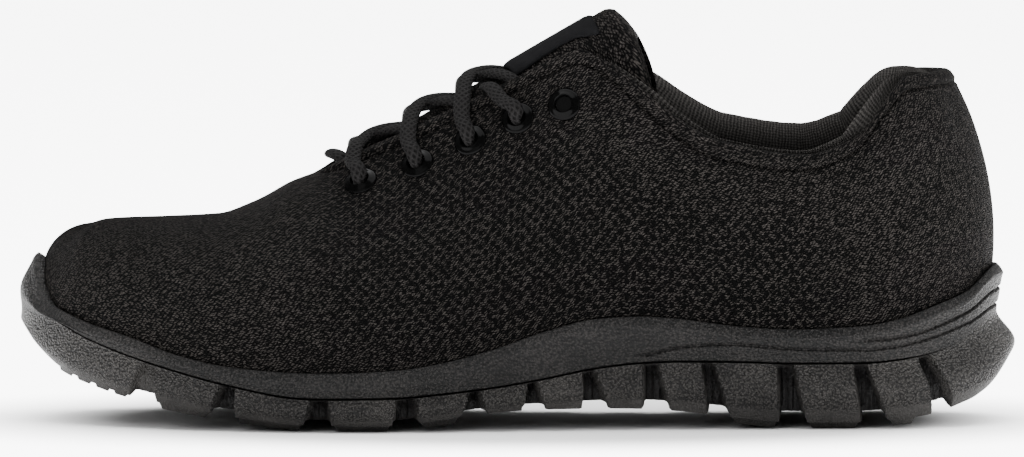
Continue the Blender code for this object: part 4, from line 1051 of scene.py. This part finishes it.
def moulded(name, colours, roughness, grain, depth, wrinkle=None):
    """Moulded foam or rubber: a leather-like grain of a width in millimetres, with the mould's soft gloss,
    a painted highlight on each pebble and painted shade between them.

    The zone attribute says where the grain is deep; below 0 it marks the notches between blocks, darkened
    as painted shade. Wrinkles are noise drawn out up the bevelled lip.
    """
    made, tree, shader = finish(name, colours[0], roughness, 0.16)
    place = node(tree, "ShaderNodeTexCoord", {}, "Object")
    cell = node(tree, "ShaderNodeTexVoronoi", {"Vector": place, "Scale": 1000.0 / grain}, "Distance")
    fine = node(tree, "ShaderNodeTexNoise", {"Vector": place, "Scale": 1500.0 / grain, "Detail": 3.0})
    zone = node(tree, "ShaderNodeAttribute", {}, "Fac", attribute_name="zone")
    pebble = node(tree, RANGE, {0: cell, 1: 0.80, 2: 0.15})
    if wrinkle:
        scale = (1000.0 / wrinkle, 1000.0 / wrinkle, 50.0)
        stretch = node(tree, "ShaderNodeMapping", {"Vector": place, "Scale": scale})
        fold = node(tree, "ShaderNodeTexNoise", {"Vector": stretch, "Scale": 1.0, "Detail": 2.0})
        fold = node(tree, MATH, {0: fold, 1: zone}, operation="MULTIPLY")
        height = node(tree, MATH, {0: fold, 1: 2.0, 2: pebble}, operation="MULTIPLY_ADD")
        deep = 1.1
    else:
        deep = node(tree, RANGE, {0: zone, 3: 0.25, 4: 0.85})
        height = node(tree, MATH, {0: pebble, 1: deep}, operation="MULTIPLY")
    height = node(tree, MATH, {0: fine, 1: 0.4, 2: height}, operation="MULTIPLY_ADD")
    cloud = node(tree, "ShaderNodeTexNoise", {"Vector": place, "Scale": 60.0, "Detail": 4.0})
    cloud = node(tree, MATH, {0: cloud, 1: 0.9, 2: -0.1}, operation="MULTIPLY_ADD")
    # Painted highlight on the pebbles' tops and painted shade between them, over a random cloud of tone
    painted_pebble_light = node(tree, MATH, {0: pebble, 1: -0.5}, operation="ADD")
    shade = node(tree, MATH, {0: painted_pebble_light, 1: deep, 2: cloud}, operation="MULTIPLY_ADD")
    # Painted shade: darker in the notches between the blocks, where the zone falls to -1
    shadowed = node(tree, RANGE, {0: zone, 1: -1.0, 2: 0.0})
    shade = node(tree, MATH, {0: shade, 1: shadowed}, operation="MULTIPLY")
    dress(tree, shader, shade, colours, height, depth)
    return made


def braided(name, colours, depth):
    """Braided polyester lace: two sets of strands that slant across each other round an oval cord, with a
    painted highlight on each strand and painted shade between them.
    """
    made, tree, shader = finish(name, colours[0], 0.70, 0.05)
    _, along, round_it = pattern_axes(tree)
    along = node(tree, MATH, {0: along, 1: 1 / BRAID_PITCH}, operation="MULTIPLY")
    strands = []
    for slant in (BRAID_STRANDS, -BRAID_STRANDS):
        phase = node(tree, MATH, {0: round_it, 1: slant, 2: along}, operation="MULTIPLY_ADD")
        strands.append(wave(tree, phase, 1.0))
    height = node(tree, MATH, {0: strands[0], 1: strands[1]}, operation="MAXIMUM")
    height = node(tree, MATH, {0: height, 1: 0.5, 2: 0.5}, operation="MULTIPLY_ADD")
    # Colour follows the height: painted highlight on the strands, painted shade between them
    dress(tree, shader, height, colours, height, depth)
    return made


def woven_label(name, colours, depth):
    """Woven damask label, pressed smooth: a satin weave of 0.45 mm, drawn coarser than the real one."""
    made, tree, shader = finish(name, colours[0], 0.85, 0.02)
    uv = node(tree, "ShaderNodeUVMap", {}, uv_map="pattern")
    weave = node(tree, "ShaderNodeTexChecker", {"Vector": uv, "Scale": 2200.0}, "Fac")
    cloud = node(tree, "ShaderNodeTexNoise", {"Vector": uv, "Scale": 300.0, "Detail": 3.0})
    height = node(tree, MATH, {0: weave, 1: 0.5, 2: cloud}, operation="MULTIPLY_ADD")
    dress(tree, shader, cloud, colours, height, depth)
    return made


def enamelled(name, colours):
    """Brass eyelet under black enamel: glossy, with a fine wear that varies its roughness."""
    made, tree, shader = finish(name, colours[0], 0.25, 0.03)
    place = node(tree, "ShaderNodeTexCoord", {}, "Object")
    wear = node(tree, "ShaderNodeTexNoise", {"Vector": place, "Scale": 700.0, "Detail": 4.0})
    rough = node(tree, RANGE, {0: wear, 3: 0.06, 4: 0.20})
    tree.links.new(rough, shader.inputs["Roughness"])
    dress(tree, shader, wear, colours)
    return made


def make_finishes(shoe):
    """All of the shoe's materials, each named for the real one and how it was made."""
    upper = (shoe.knit_dark, shoe.knit_light)
    lining = (shoe.lining_dark, shoe.lining_light)
    foam = (shoe.foam_dark, shoe.foam_light)
    rubber = (shoe.rubber_dark, shoe.rubber_light)
    label = (shoe.label_dark, shoe.label_light)
    return {
        "upper": knit("polyester_engineered_knit", upper, 1.08, 0.66, (3.6, 4.2, 0.10), 0.0006),
        "edge": knit("polyester_edge_knit", upper, 1.1, 0.8, None, 0.0004),
        "tongue": knit("polyester_tongue_knit", upper, 1.1, 0.8, None, 0.0005),
        "lining": ribbed_knit("polyester_rib_knit_lining", lining, 1.05, 0.0003),
        "insole": ribbed_knit("polyester_sockliner_knit", ("131212", "242322"), 0.9, 0.0002),
        "foam": moulded("eva_foam_moulded", foam, 0.58, 0.75, 0.00030, 0.6),
        "rubber": moulded("nitrile_rubber_moulded", rubber, 0.48, 0.70, 0.00070),
        "label": woven_label("polyester_label_woven_satin", label, 0.00006),
        "enamel": enamelled("brass_black_enamelled", ("010101", "050505")),
        "braid": braided("polyester_lace_braided", (shoe.lace_dark, shoe.lace_light), 0.0003),
    }


def finishes():
    """The shoe's materials, made once."""
    if not MADE:
        MADE.update(make_finishes(bpy.context.scene.shoe_finish))
    return MADE


def build_upper_piece():
    """Upper: outer faces, rolled edge and padded inner faces of both sides, welded at ridge and heel."""
    patches = []
    for side in (OUTER, INNER):
        share, ridge, outside, inside, arrival, from_edge = upper_grids(side)
        lengths = outline_length(share, side)
        drop = DIP_DROP * after(share, DIP)
        drop = between(drop, HEEL_DROP, after(share, DIP_END))[:, None] * ease(1 - from_edge / DROP_REACH)
        outside[..., 2] -= drop
        inside[..., 2] -= drop
        inside[0, :, 1] = inside[-1, :, 1] = 0
        inside[[0, -1], :, 1] = outside[[0, -1], :, 1]
        inside[ridge, -1, 1] = outside[ridge, -1, 1]
        zone = pit_zone(share, outside)
        coordinates = with_coordinates(outside, lengths, side)
        flip = side == INNER
        patches.append((outside, coordinates, zone, flip))
        middle = (outside[:, -1] + inside[:, -1]) / 2
        half = (outside[:, -1] - inside[:, -1]) / 2
        size = np.linalg.norm(half, axis=-1, keepdims=True)
        open_rows = np.flatnonzero(~ridge)[0] - 1
        outward = arrival.copy()
        outward[open_rows] = (1.0, 0.0, 0.0)
        turns = np.linspace(0, math.pi, RIM_STEPS)
        rim = np.stack([middle + half * math.cos(a) + outward * size * math.sin(a) for a in turns], axis=1)
        rim = rim[open_rows:]
        patches.append((rim, with_coordinates(rim, lengths[open_rows:], side), EDGE_ZONE, flip))
        wall = inside[:, ::-1]
        patches.append((wall, with_coordinates(wall, lengths, side), LINING_ZONE, flip))
    made = finishes()
    return add_slots(surface("knitted_upper", patches, made["upper"]), made["edge"], made["lining"])


def pit_zone(share, grid):
    """Where the cloth has rows of pits: its middle, fading out at the toe, the edge and the sole."""
    height = grid[..., 2] / COLLAR_HEIGHT
    along = np.broadcast_to(share[:, None], height.shape)
    band = after(along, PITS_START) * before(along, PITS_END)
    low = ease((height - 0.20) / 0.12)
    top = 0.95 - 0.25 * after(along, PITS_LOWER)
    return band * low * ease((top - height) / 0.18)


def build_midsole_piece():
    """Midsole: both sides of the band, its bevelled lip and the tray behind it."""
    patches = []
    for side in (OUTER, INNER):
        share, grid = midsole_grid(side)
        zone = np.zeros(grid.shape[:2])
        zone[:, LIP_COLUMNS] = 1.0
        zone *= after(share, WRINKLES_START)[:, None]
        pattern = with_coordinates(grid, outline_length(share, side), side)
        patches.append((grid, pattern, zone, side == INNER))
    return surface("foam_midsole", patches, finishes()["foam"], sharp=50)


def build_outsole_piece():
    """Outsole: both sides and the tread, meeting on the middle line underneath."""
    patches = []
    for side in (OUTER, INNER):
        share, grid, depth = outsole_grid(side)
        pattern = with_coordinates(grid, outline_length(share, side), side)
        patches.append((grid, pattern, depth, side == OUTER))
    return surface("rubber_outsole", patches, finishes()["rubber"], sharp=45)


def build_tongue_piece():
    """Tongue: knitted front over a padded back of the edge knit, joined by a seam along the top and sides.
    """
    _, progress, top, outward = tongue_top()
    columns = top.shape[1]
    thick = between(TONGUE_THICKNESS, TONGUE_STUFFED, ease(progress))[:, None, None]
    across = np.linspace(-1, 1, columns)[None, :, None]
    back = outward[:, columns // 2][:, None]
    sunk = np.sum((top[:, columns // 2][:, None] - top) * back, axis=-1, keepdims=True)
    thick = np.maximum(thick - sunk, TONGUE_THICKNESS)
    lengths = walked(top.swapaxes(0, 1)).swapaxes(0, 1)
    turn = np.clip(1 - (lengths[-1] - lengths) / TONGUE_ROUND, 0, 1)
    turned = (TONGUE_ROUND * (1 - np.sqrt(1 - turn ** 2)))[..., None]
    top = top - back * turned
    thick = np.maximum(thick - TONGUE_LEANS * turned, TONGUE_THICKNESS)
    layers = []
    for k in np.linspace(0, 1, TONGUE_LAYERS):
        swell = math.sin(math.pi * k) ** 0.6 * TONGUE_SEAM
        sides = unit(np.gradient(top, axis=1)) * np.sign(across) * swell * np.abs(across) ** 8
        layers.append(top - back * thick * k + sides)
    low = layers[-1]
    half = walked(top) - walked(top)[:, columns // 2][:, None]
    flat = np.stack([half, lengths], axis=-1)
    patches = [(top, flat, 0.0, False)]
    for edge, flip in ((0, True), (columns - 1, False)):
        strip = np.stack([layer[:, edge] for layer in layers], axis=1)
        patches.append((strip, with_coordinates(strip, lengths[:, edge], 1), EDGE_ZONE, flip))
    ends = np.stack([layer[-1] for layer in layers], axis=1)
    bulge = np.sin(np.linspace(0, math.pi, len(layers))) ** 0.7 * TONGUE_END
    forward = unit(np.gradient(top, axis=0))[-1]
    ends = ends + forward[:, None] * bulge[None, :, None]
    patches.append((ends, with_coordinates(ends, half[-1], 1), EDGE_ZONE, True))
    foot = np.stack([layer[0] for layer in layers], axis=1)
    patches.append((foot, with_coordinates(foot, half[0], 1), EDGE_ZONE, False))
    patches.append((low, flat, EDGE_ZONE, True))
    made = finishes()
    return add_slots(surface("padded_tongue", patches, made["tongue"]), made["edge"])


def build_label_piece():
    """Label: a smooth woven patch laid on the tongue's crown, with rounded corners and a turned edge."""
    along, _, top, outward = tongue_top()
    columns = top.shape[1]
    u, v = np.meshgrid(np.linspace(-1, 1, 41), np.linspace(-1, 1, 33), indexing="ij")
    row = np.interp(between(LABEL_FROM, LABEL_TO, (u + 1) / 2), along, np.arange(len(along)))
    half = walked(top)
    half = half - half[:, columns // 2][:, None]
    across = v * LABEL_HALF
    middle = half[np.clip(np.rint(row).astype(int), 0, len(along) - 1)]
    column = np.empty(v.shape)
    for place in np.ndindex(v.shape):
        column[place] = np.interp(across[place], middle[place], np.arange(columns))
    point = sample(top, row, column)
    up = unit(sample(outward, row, column))
    edge = np.minimum(ease((1 - np.abs(u)) * 12), ease((1 - np.abs(v)) * 12))
    seam = hill(np.maximum(np.abs(u), np.abs(v)) - 0.90, 0.02) * LABEL_SEAM
    grid = point + up * (LABEL_LIFT + LABEL_THICKNESS * edge - seam)[..., None]
    pattern = np.stack([u * 0.014, v * 0.012], axis=-1)
    back = point + up * LABEL_LIFT
    patches = [(grid, pattern, 0.0, False), (back, pattern, 0.0, True)]
    return surface("woven_label", patches, finishes()["label"])


def eyelet_frames():
    """Place, outward direction and upward direction of every eyelet, outer side first."""
    return [(side, eyelet, surface_spot(eyelet.along, side, eyelet.reach * EYELET_REACH))
            for side in (OUTER, INNER) for eyelet in EYELETS]


def build_eyelets_piece():
    """Eyelets: profiles turned about each hole's axis, with a rolled flange and a black disc across the
    bore as painted shade.
    """
    profile = np.array(PROFILE)
    turn = np.linspace(0, TURN, 49)
    patches = []
    for _, _, (point, normal, up) in eyelet_frames():
        aside = np.cross(normal, up)
        ring = aside[None, :] * np.cos(turn)[:, None] + up[None, :] * np.sin(turn)[:, None]
        grid = point + ring[:, None] * profile[None, :, :1] + normal * profile[None, :, 1:]
        patches.append((grid, (0.0, 0.0), 0.0, True))
    return surface("enamelled_eyelets", patches, finishes()["enamel"], sharp=60)


def lace_routes():
    """Routes of the lace: strands from eyelet to eyelet over the tongue, the bar, and the two ends."""
    spots = {(side, EYELETS.index(eyelet)): spot for side, eyelet, spot in eyelet_frames()}
    along, _, top, outward = tongue_top()
    middle = top.shape[1] // 2

    def off(spot, out, rise):
        point, normal, up = spot
        return point + normal * out + up * rise

    def on_tongue(share, across, rise):
        row = np.array(np.interp(share, along, np.arange(len(along))))
        column = np.array(middle + across * TONGUE_ARC)
        return sample(top, row, column) + sample(outward, row, column) * rise

    def leaving(side, number, run, pitch, lift):
        start = EYELETS[number].along
        route = [off(spots[side, number], out, rise) for out, rise in run.rises]
        for ahead, reach, out, rise in run.edges:
            route.append(off(surface_spot(start + ahead * pitch, side, reach * EYELET_REACH), out, rise))
        for ahead, across, rise, over in run.crosses:
            route.append(on_tongue(start + ahead * pitch, across * side, rise + lift * over))
        return route

    routes = []
    for number in range(LACED - 1):
        pitch = EYELETS[number + 1].along - EYELETS[number].along
        for side, lift in zip((OUTER, INNER), LACE_OVER):
            route = leaving(side, number, STRAND, pitch, lift)
            routes.append(curve_through([*route, off(spots[-side, number + 1], -0.0040, 0.0030)], 90))
    ends = [off(spots[side, 0], -0.0036, 0.001) for side in (OUTER, INNER)]
    bar = [on_tongue(BAR_ALONG, across, rise) for across, rise in BAR]
    routes.append(curve_through([ends[0], *bar, ends[1]], 80))
    for side in (OUTER, INNER):
        routes.append(curve_through(leaving(side, LACED - 1, LACE_END, 1.0, 0.0), 60))
    return routes


def build_laces_piece():
    """Laces: an oval braided cord swept along every visible run, its flat side on the shoe."""
    _, _, top, _ = tongue_top()
    crown = top[:, top.shape[1] // 2]
    patches = []
    for route in lace_routes():
        nearest = np.array([np.argmin(np.linalg.norm(crown - point, axis=-1)) for point in route])
        axis = crown[nearest] - np.array([0.0, 0.0, 0.030])
        ups = unit(route - axis)
        grid, pattern = swept(route, LACE_WIDTH, LACE_DEPTH, 25, ups)
        patches.append((grid, pattern, 0.0, True))
        for end in (0, -1):
            cap = between(grid[end].mean(axis=0), grid[end][None], np.array([0.0, 1.0])[:, None, None])
            patches.append((cap, (0.0, 0.0), 0.0, end == 0))
    return surface("braided_laces", patches, finishes()["braid"])


def hex_colour(label, value):
    """Setting that holds an sRGB hex colour."""
    return bpy.props.StringProperty(name=label, description="sRGB hex colour", default=value)


def measure(label, value, **kind):
    """Setting that holds a number."""
    return bpy.props.FloatProperty(name=label, description=f"{label} of the studio", default=value, **kind)


class ShoeFinish(bpy.types.PropertyGroup):
    """Colours of the shoe's pieces: dark for the painted shade in the pits, light for the painted highlight
    on the high spots.
    """

    knit_dark: hex_colour("Knit, dark", "000000")
    knit_light: hex_colour("Knit, light", "312e2c")
    lining_dark: hex_colour("Lining, dark", "151414")
    lining_light: hex_colour("Lining, light", "403e3c")
    foam_dark: hex_colour("Midsole, dark", "060606")
    foam_light: hex_colour("Midsole, light", "272524")
    rubber_dark: hex_colour("Outsole, dark", "0f0e0e")
    rubber_light: hex_colour("Outsole, light", "413f3d")
    label_dark: hex_colour("Label, dark", "0c0c0d")
    label_light: hex_colour("Label, light", "161617")
    lace_dark: hex_colour("Lace, dark", "020202")
    lace_light: hex_colour("Lace, light", "171616")


class StudioView(bpy.types.PropertyGroup):
    """Camera and light of the studio."""

    elevation: measure("Camera's elevation", math.radians(4), subtype="ANGLE")
    distance: measure("Camera's distance", 6.0, unit="LENGTH")
    width: measure("Width of the view", 0.2933, unit="LENGTH")
    key: measure("Top light", 62.0, unit="POWER")
    fill: measure("Front light", 10.0, unit="POWER")
    glow: measure("Floor light", 6.8)
    floor: hex_colour("Floor", "f8f8f8")


class SHOE_OT_upper(bpy.types.Operator):
    """Make the knitted upper with its rolled edge and padded collar"""

    bl_idname = "shoe.upper"
    bl_label = "Upper"

    def execute(self, context):
        piece = build_upper_piece()
        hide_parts("upper")
        return {"FINISHED"}


class SHOE_OT_sole(bpy.types.Operator):
    """Make the moulded midsole and outsole, and line the insole"""

    bl_idname = "shoe.sole"
    bl_label = "Sole"

    def execute(self, context):
        midsole = build_midsole_piece()
        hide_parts("midsole")
        outsole = build_outsole_piece()
        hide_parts("outsole")
        for slot in frame["nodes"]["insole"].material_slots:
            slot.material = finishes()["insole"]
        return {"FINISHED"}


class SHOE_OT_tongue(bpy.types.Operator):
    """Make the padded tongue and its blank woven label"""

    bl_idname = "shoe.tongue"
    bl_label = "Tongue and label"

    def execute(self, context):
        tongue = build_tongue_piece()
        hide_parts("tongue")
        label = build_label_piece()
        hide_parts("tongue_label")
        return {"FINISHED"}


class SHOE_OT_lacing(bpy.types.Operator):
    """Make the ten enamelled eyelets and the braided laces that run through them"""

    bl_idname = "shoe.lacing"
    bl_label = "Eyelets and laces"

    def execute(self, context):
        eyelets = build_eyelets_piece()
        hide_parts(*[f"eyelet_{side}_{n}" for side in ("outer", "inner") for n in range(1, 6)])
        laces = build_laces_piece()
        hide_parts("lace_crossing_1", "lace_crossing_2", "lace_crossing_3", "lace_bar")
        return {"FINISHED"}


class SHOE_OT_stage(bpy.types.Operator):
    """Make the pale paper floor, whose glow fades near the shoe as a painted contact shadow, the studio
    lights and the camera
    """

    bl_idname = "shoe.stage"
    bl_label = "Stage"

    def execute(self, context):
        view = context.scene.shoe_view
        across = np.linspace(-view.distance * 3, view.distance * 3, FLOOR_COUNT)
        x, y = np.meshgrid(across, across)
        points = np.stack([x, y, np.full(x.shape, FLOOR_HEIGHT)], axis=-1).reshape(-1, 3)
        faces = grid_faces(FLOOR_COUNT, FLOOR_COUNT, True)
        made, tree, shader = finish("seamless_paper_glow_painted_shadow", view.floor, 0.95, glow=view.glow)
        # The floor's glow is dimmed near the shoe: a painted contact shadow under and around it
        place = node(tree, "ShaderNodeTexCoord", {}, "Object")
        scale = (1 / PAINTED_SHADOW_REACH[0], 1 / PAINTED_SHADOW_REACH[1], 0.0)
        place = node(tree, "ShaderNodeMapping", {"Vector": place, "Scale": scale})
        away = node(tree, "ShaderNodeVectorMath", {0: place}, "Value", operation="LENGTH")
        glow_outside_painted_shadow = node(tree, RANGE, {0: away, 1: 0.85, 2: 1.6}, interpolation_type="SMOOTHSTEP")
        tree.links.new(glow_outside_painted_shadow, shader.inputs["Emission Color"])
        mesh = bpy.data.meshes.new("seamless_floor")
        mesh.from_pydata(points.tolist(), [], faces.tolist())
        mesh.materials.append(made)
        mesh.polygons.foreach_set("use_smooth", np.ones(len(mesh.polygons), dtype=bool))
        floor = bpy.data.objects.new("seamless_floor", mesh)
        context.scene.collection.objects.link(floor)
        floor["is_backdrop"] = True
        self.light(context, "top_light", (0.1, 0.25, 1.6), 1.8, view.key)
        self.light(context, "front_light", (-0.7, -1.6, 0.9), 1.2, view.fill)
        self.light(context, "side_light", (1.4, -0.9, 0.8), 0.9, view.fill * 0.5)
        world = bpy.data.worlds.new("studio")
        world.use_nodes = True
        sky = world.node_tree.nodes["Background"]
        sky.inputs["Color"].default_value = (1.0, 1.0, 1.0, 1.0)
        sky.inputs["Strength"].default_value = 0.5
        context.scene.world = world
        camera = bpy.data.cameras.new("camera")
        camera.lens = camera.sensor_width * view.distance / view.width
        camera.clip_end = 50.0
        held = bpy.data.objects.new("camera", camera)
        context.scene.collection.objects.link(held)
        away = Vector((0.0, -math.cos(view.elevation), math.sin(view.elevation)))
        held.location = Vector(VIEW_TARGET) + away * view.distance
        held.rotation_euler = (math.pi / 2 - view.elevation, 0.0, 0.0)
        context.scene.camera = held
        return {"FINISHED"}

    def light(self, context, name, place, size, power):
        """Add one soft square light that faces the shoe."""
        data = bpy.data.lights.new(name, "AREA")
        data.size = size
        data.energy = power
        lamp = bpy.data.objects.new(name, data)
        lamp.location = place
        direction = Vector(LIT_TARGET) - Vector(place)
        lamp.rotation_euler = direction.to_track_quat("-Z", "Y").to_euler()
        context.scene.collection.objects.link(lamp)


class SHOE_PT_panel(bpy.types.Panel):
    """Work shoe's pieces, in the order in which they are made"""

    bl_idname = "SHOE_PT_panel"
    bl_label = "Work shoe"
    bl_space_type = "VIEW_3D"
    bl_region_type = "UI"
    bl_category = "Work shoe"

    def draw(self, context):
        for operator in OPERATORS:
            self.layout.operator(operator.bl_idname)
        for group in (context.scene.shoe_finish, context.scene.shoe_view):
            for name in group.__annotations__:
                self.layout.prop(group, name)


OPERATORS = (SHOE_OT_upper, SHOE_OT_sole, SHOE_OT_tongue, SHOE_OT_lacing, SHOE_OT_stage)
CLASSES = (ShoeFinish, StudioView, *OPERATORS, SHOE_PT_panel)


def register():
    """Register the classes and the scene's settings."""
    for made in CLASSES:
        bpy.utils.register_class(made)
    bpy.types.Scene.shoe_finish = bpy.props.PointerProperty(type=ShoeFinish)
    bpy.types.Scene.shoe_view = bpy.props.PointerProperty(type=StudioView)


def unregister():
    """Take back what register did."""
    del bpy.types.Scene.shoe_view
    del bpy.types.Scene.shoe_finish
    for made in reversed(CLASSES):
        bpy.utils.unregister_class(made)


def main():
    """Make every piece and the stage."""
    register()
    for operator in OPERATORS:
        group, name = operator.bl_idname.split(".")
        getattr(getattr(bpy.ops, group), name)()
    boxes = {"cad": START_BOX, "looks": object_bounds()}
    boxes = {name: [list(corner) for corner in box] for name, box in boxes.items()}


if __name__ == "__main__":
    main()
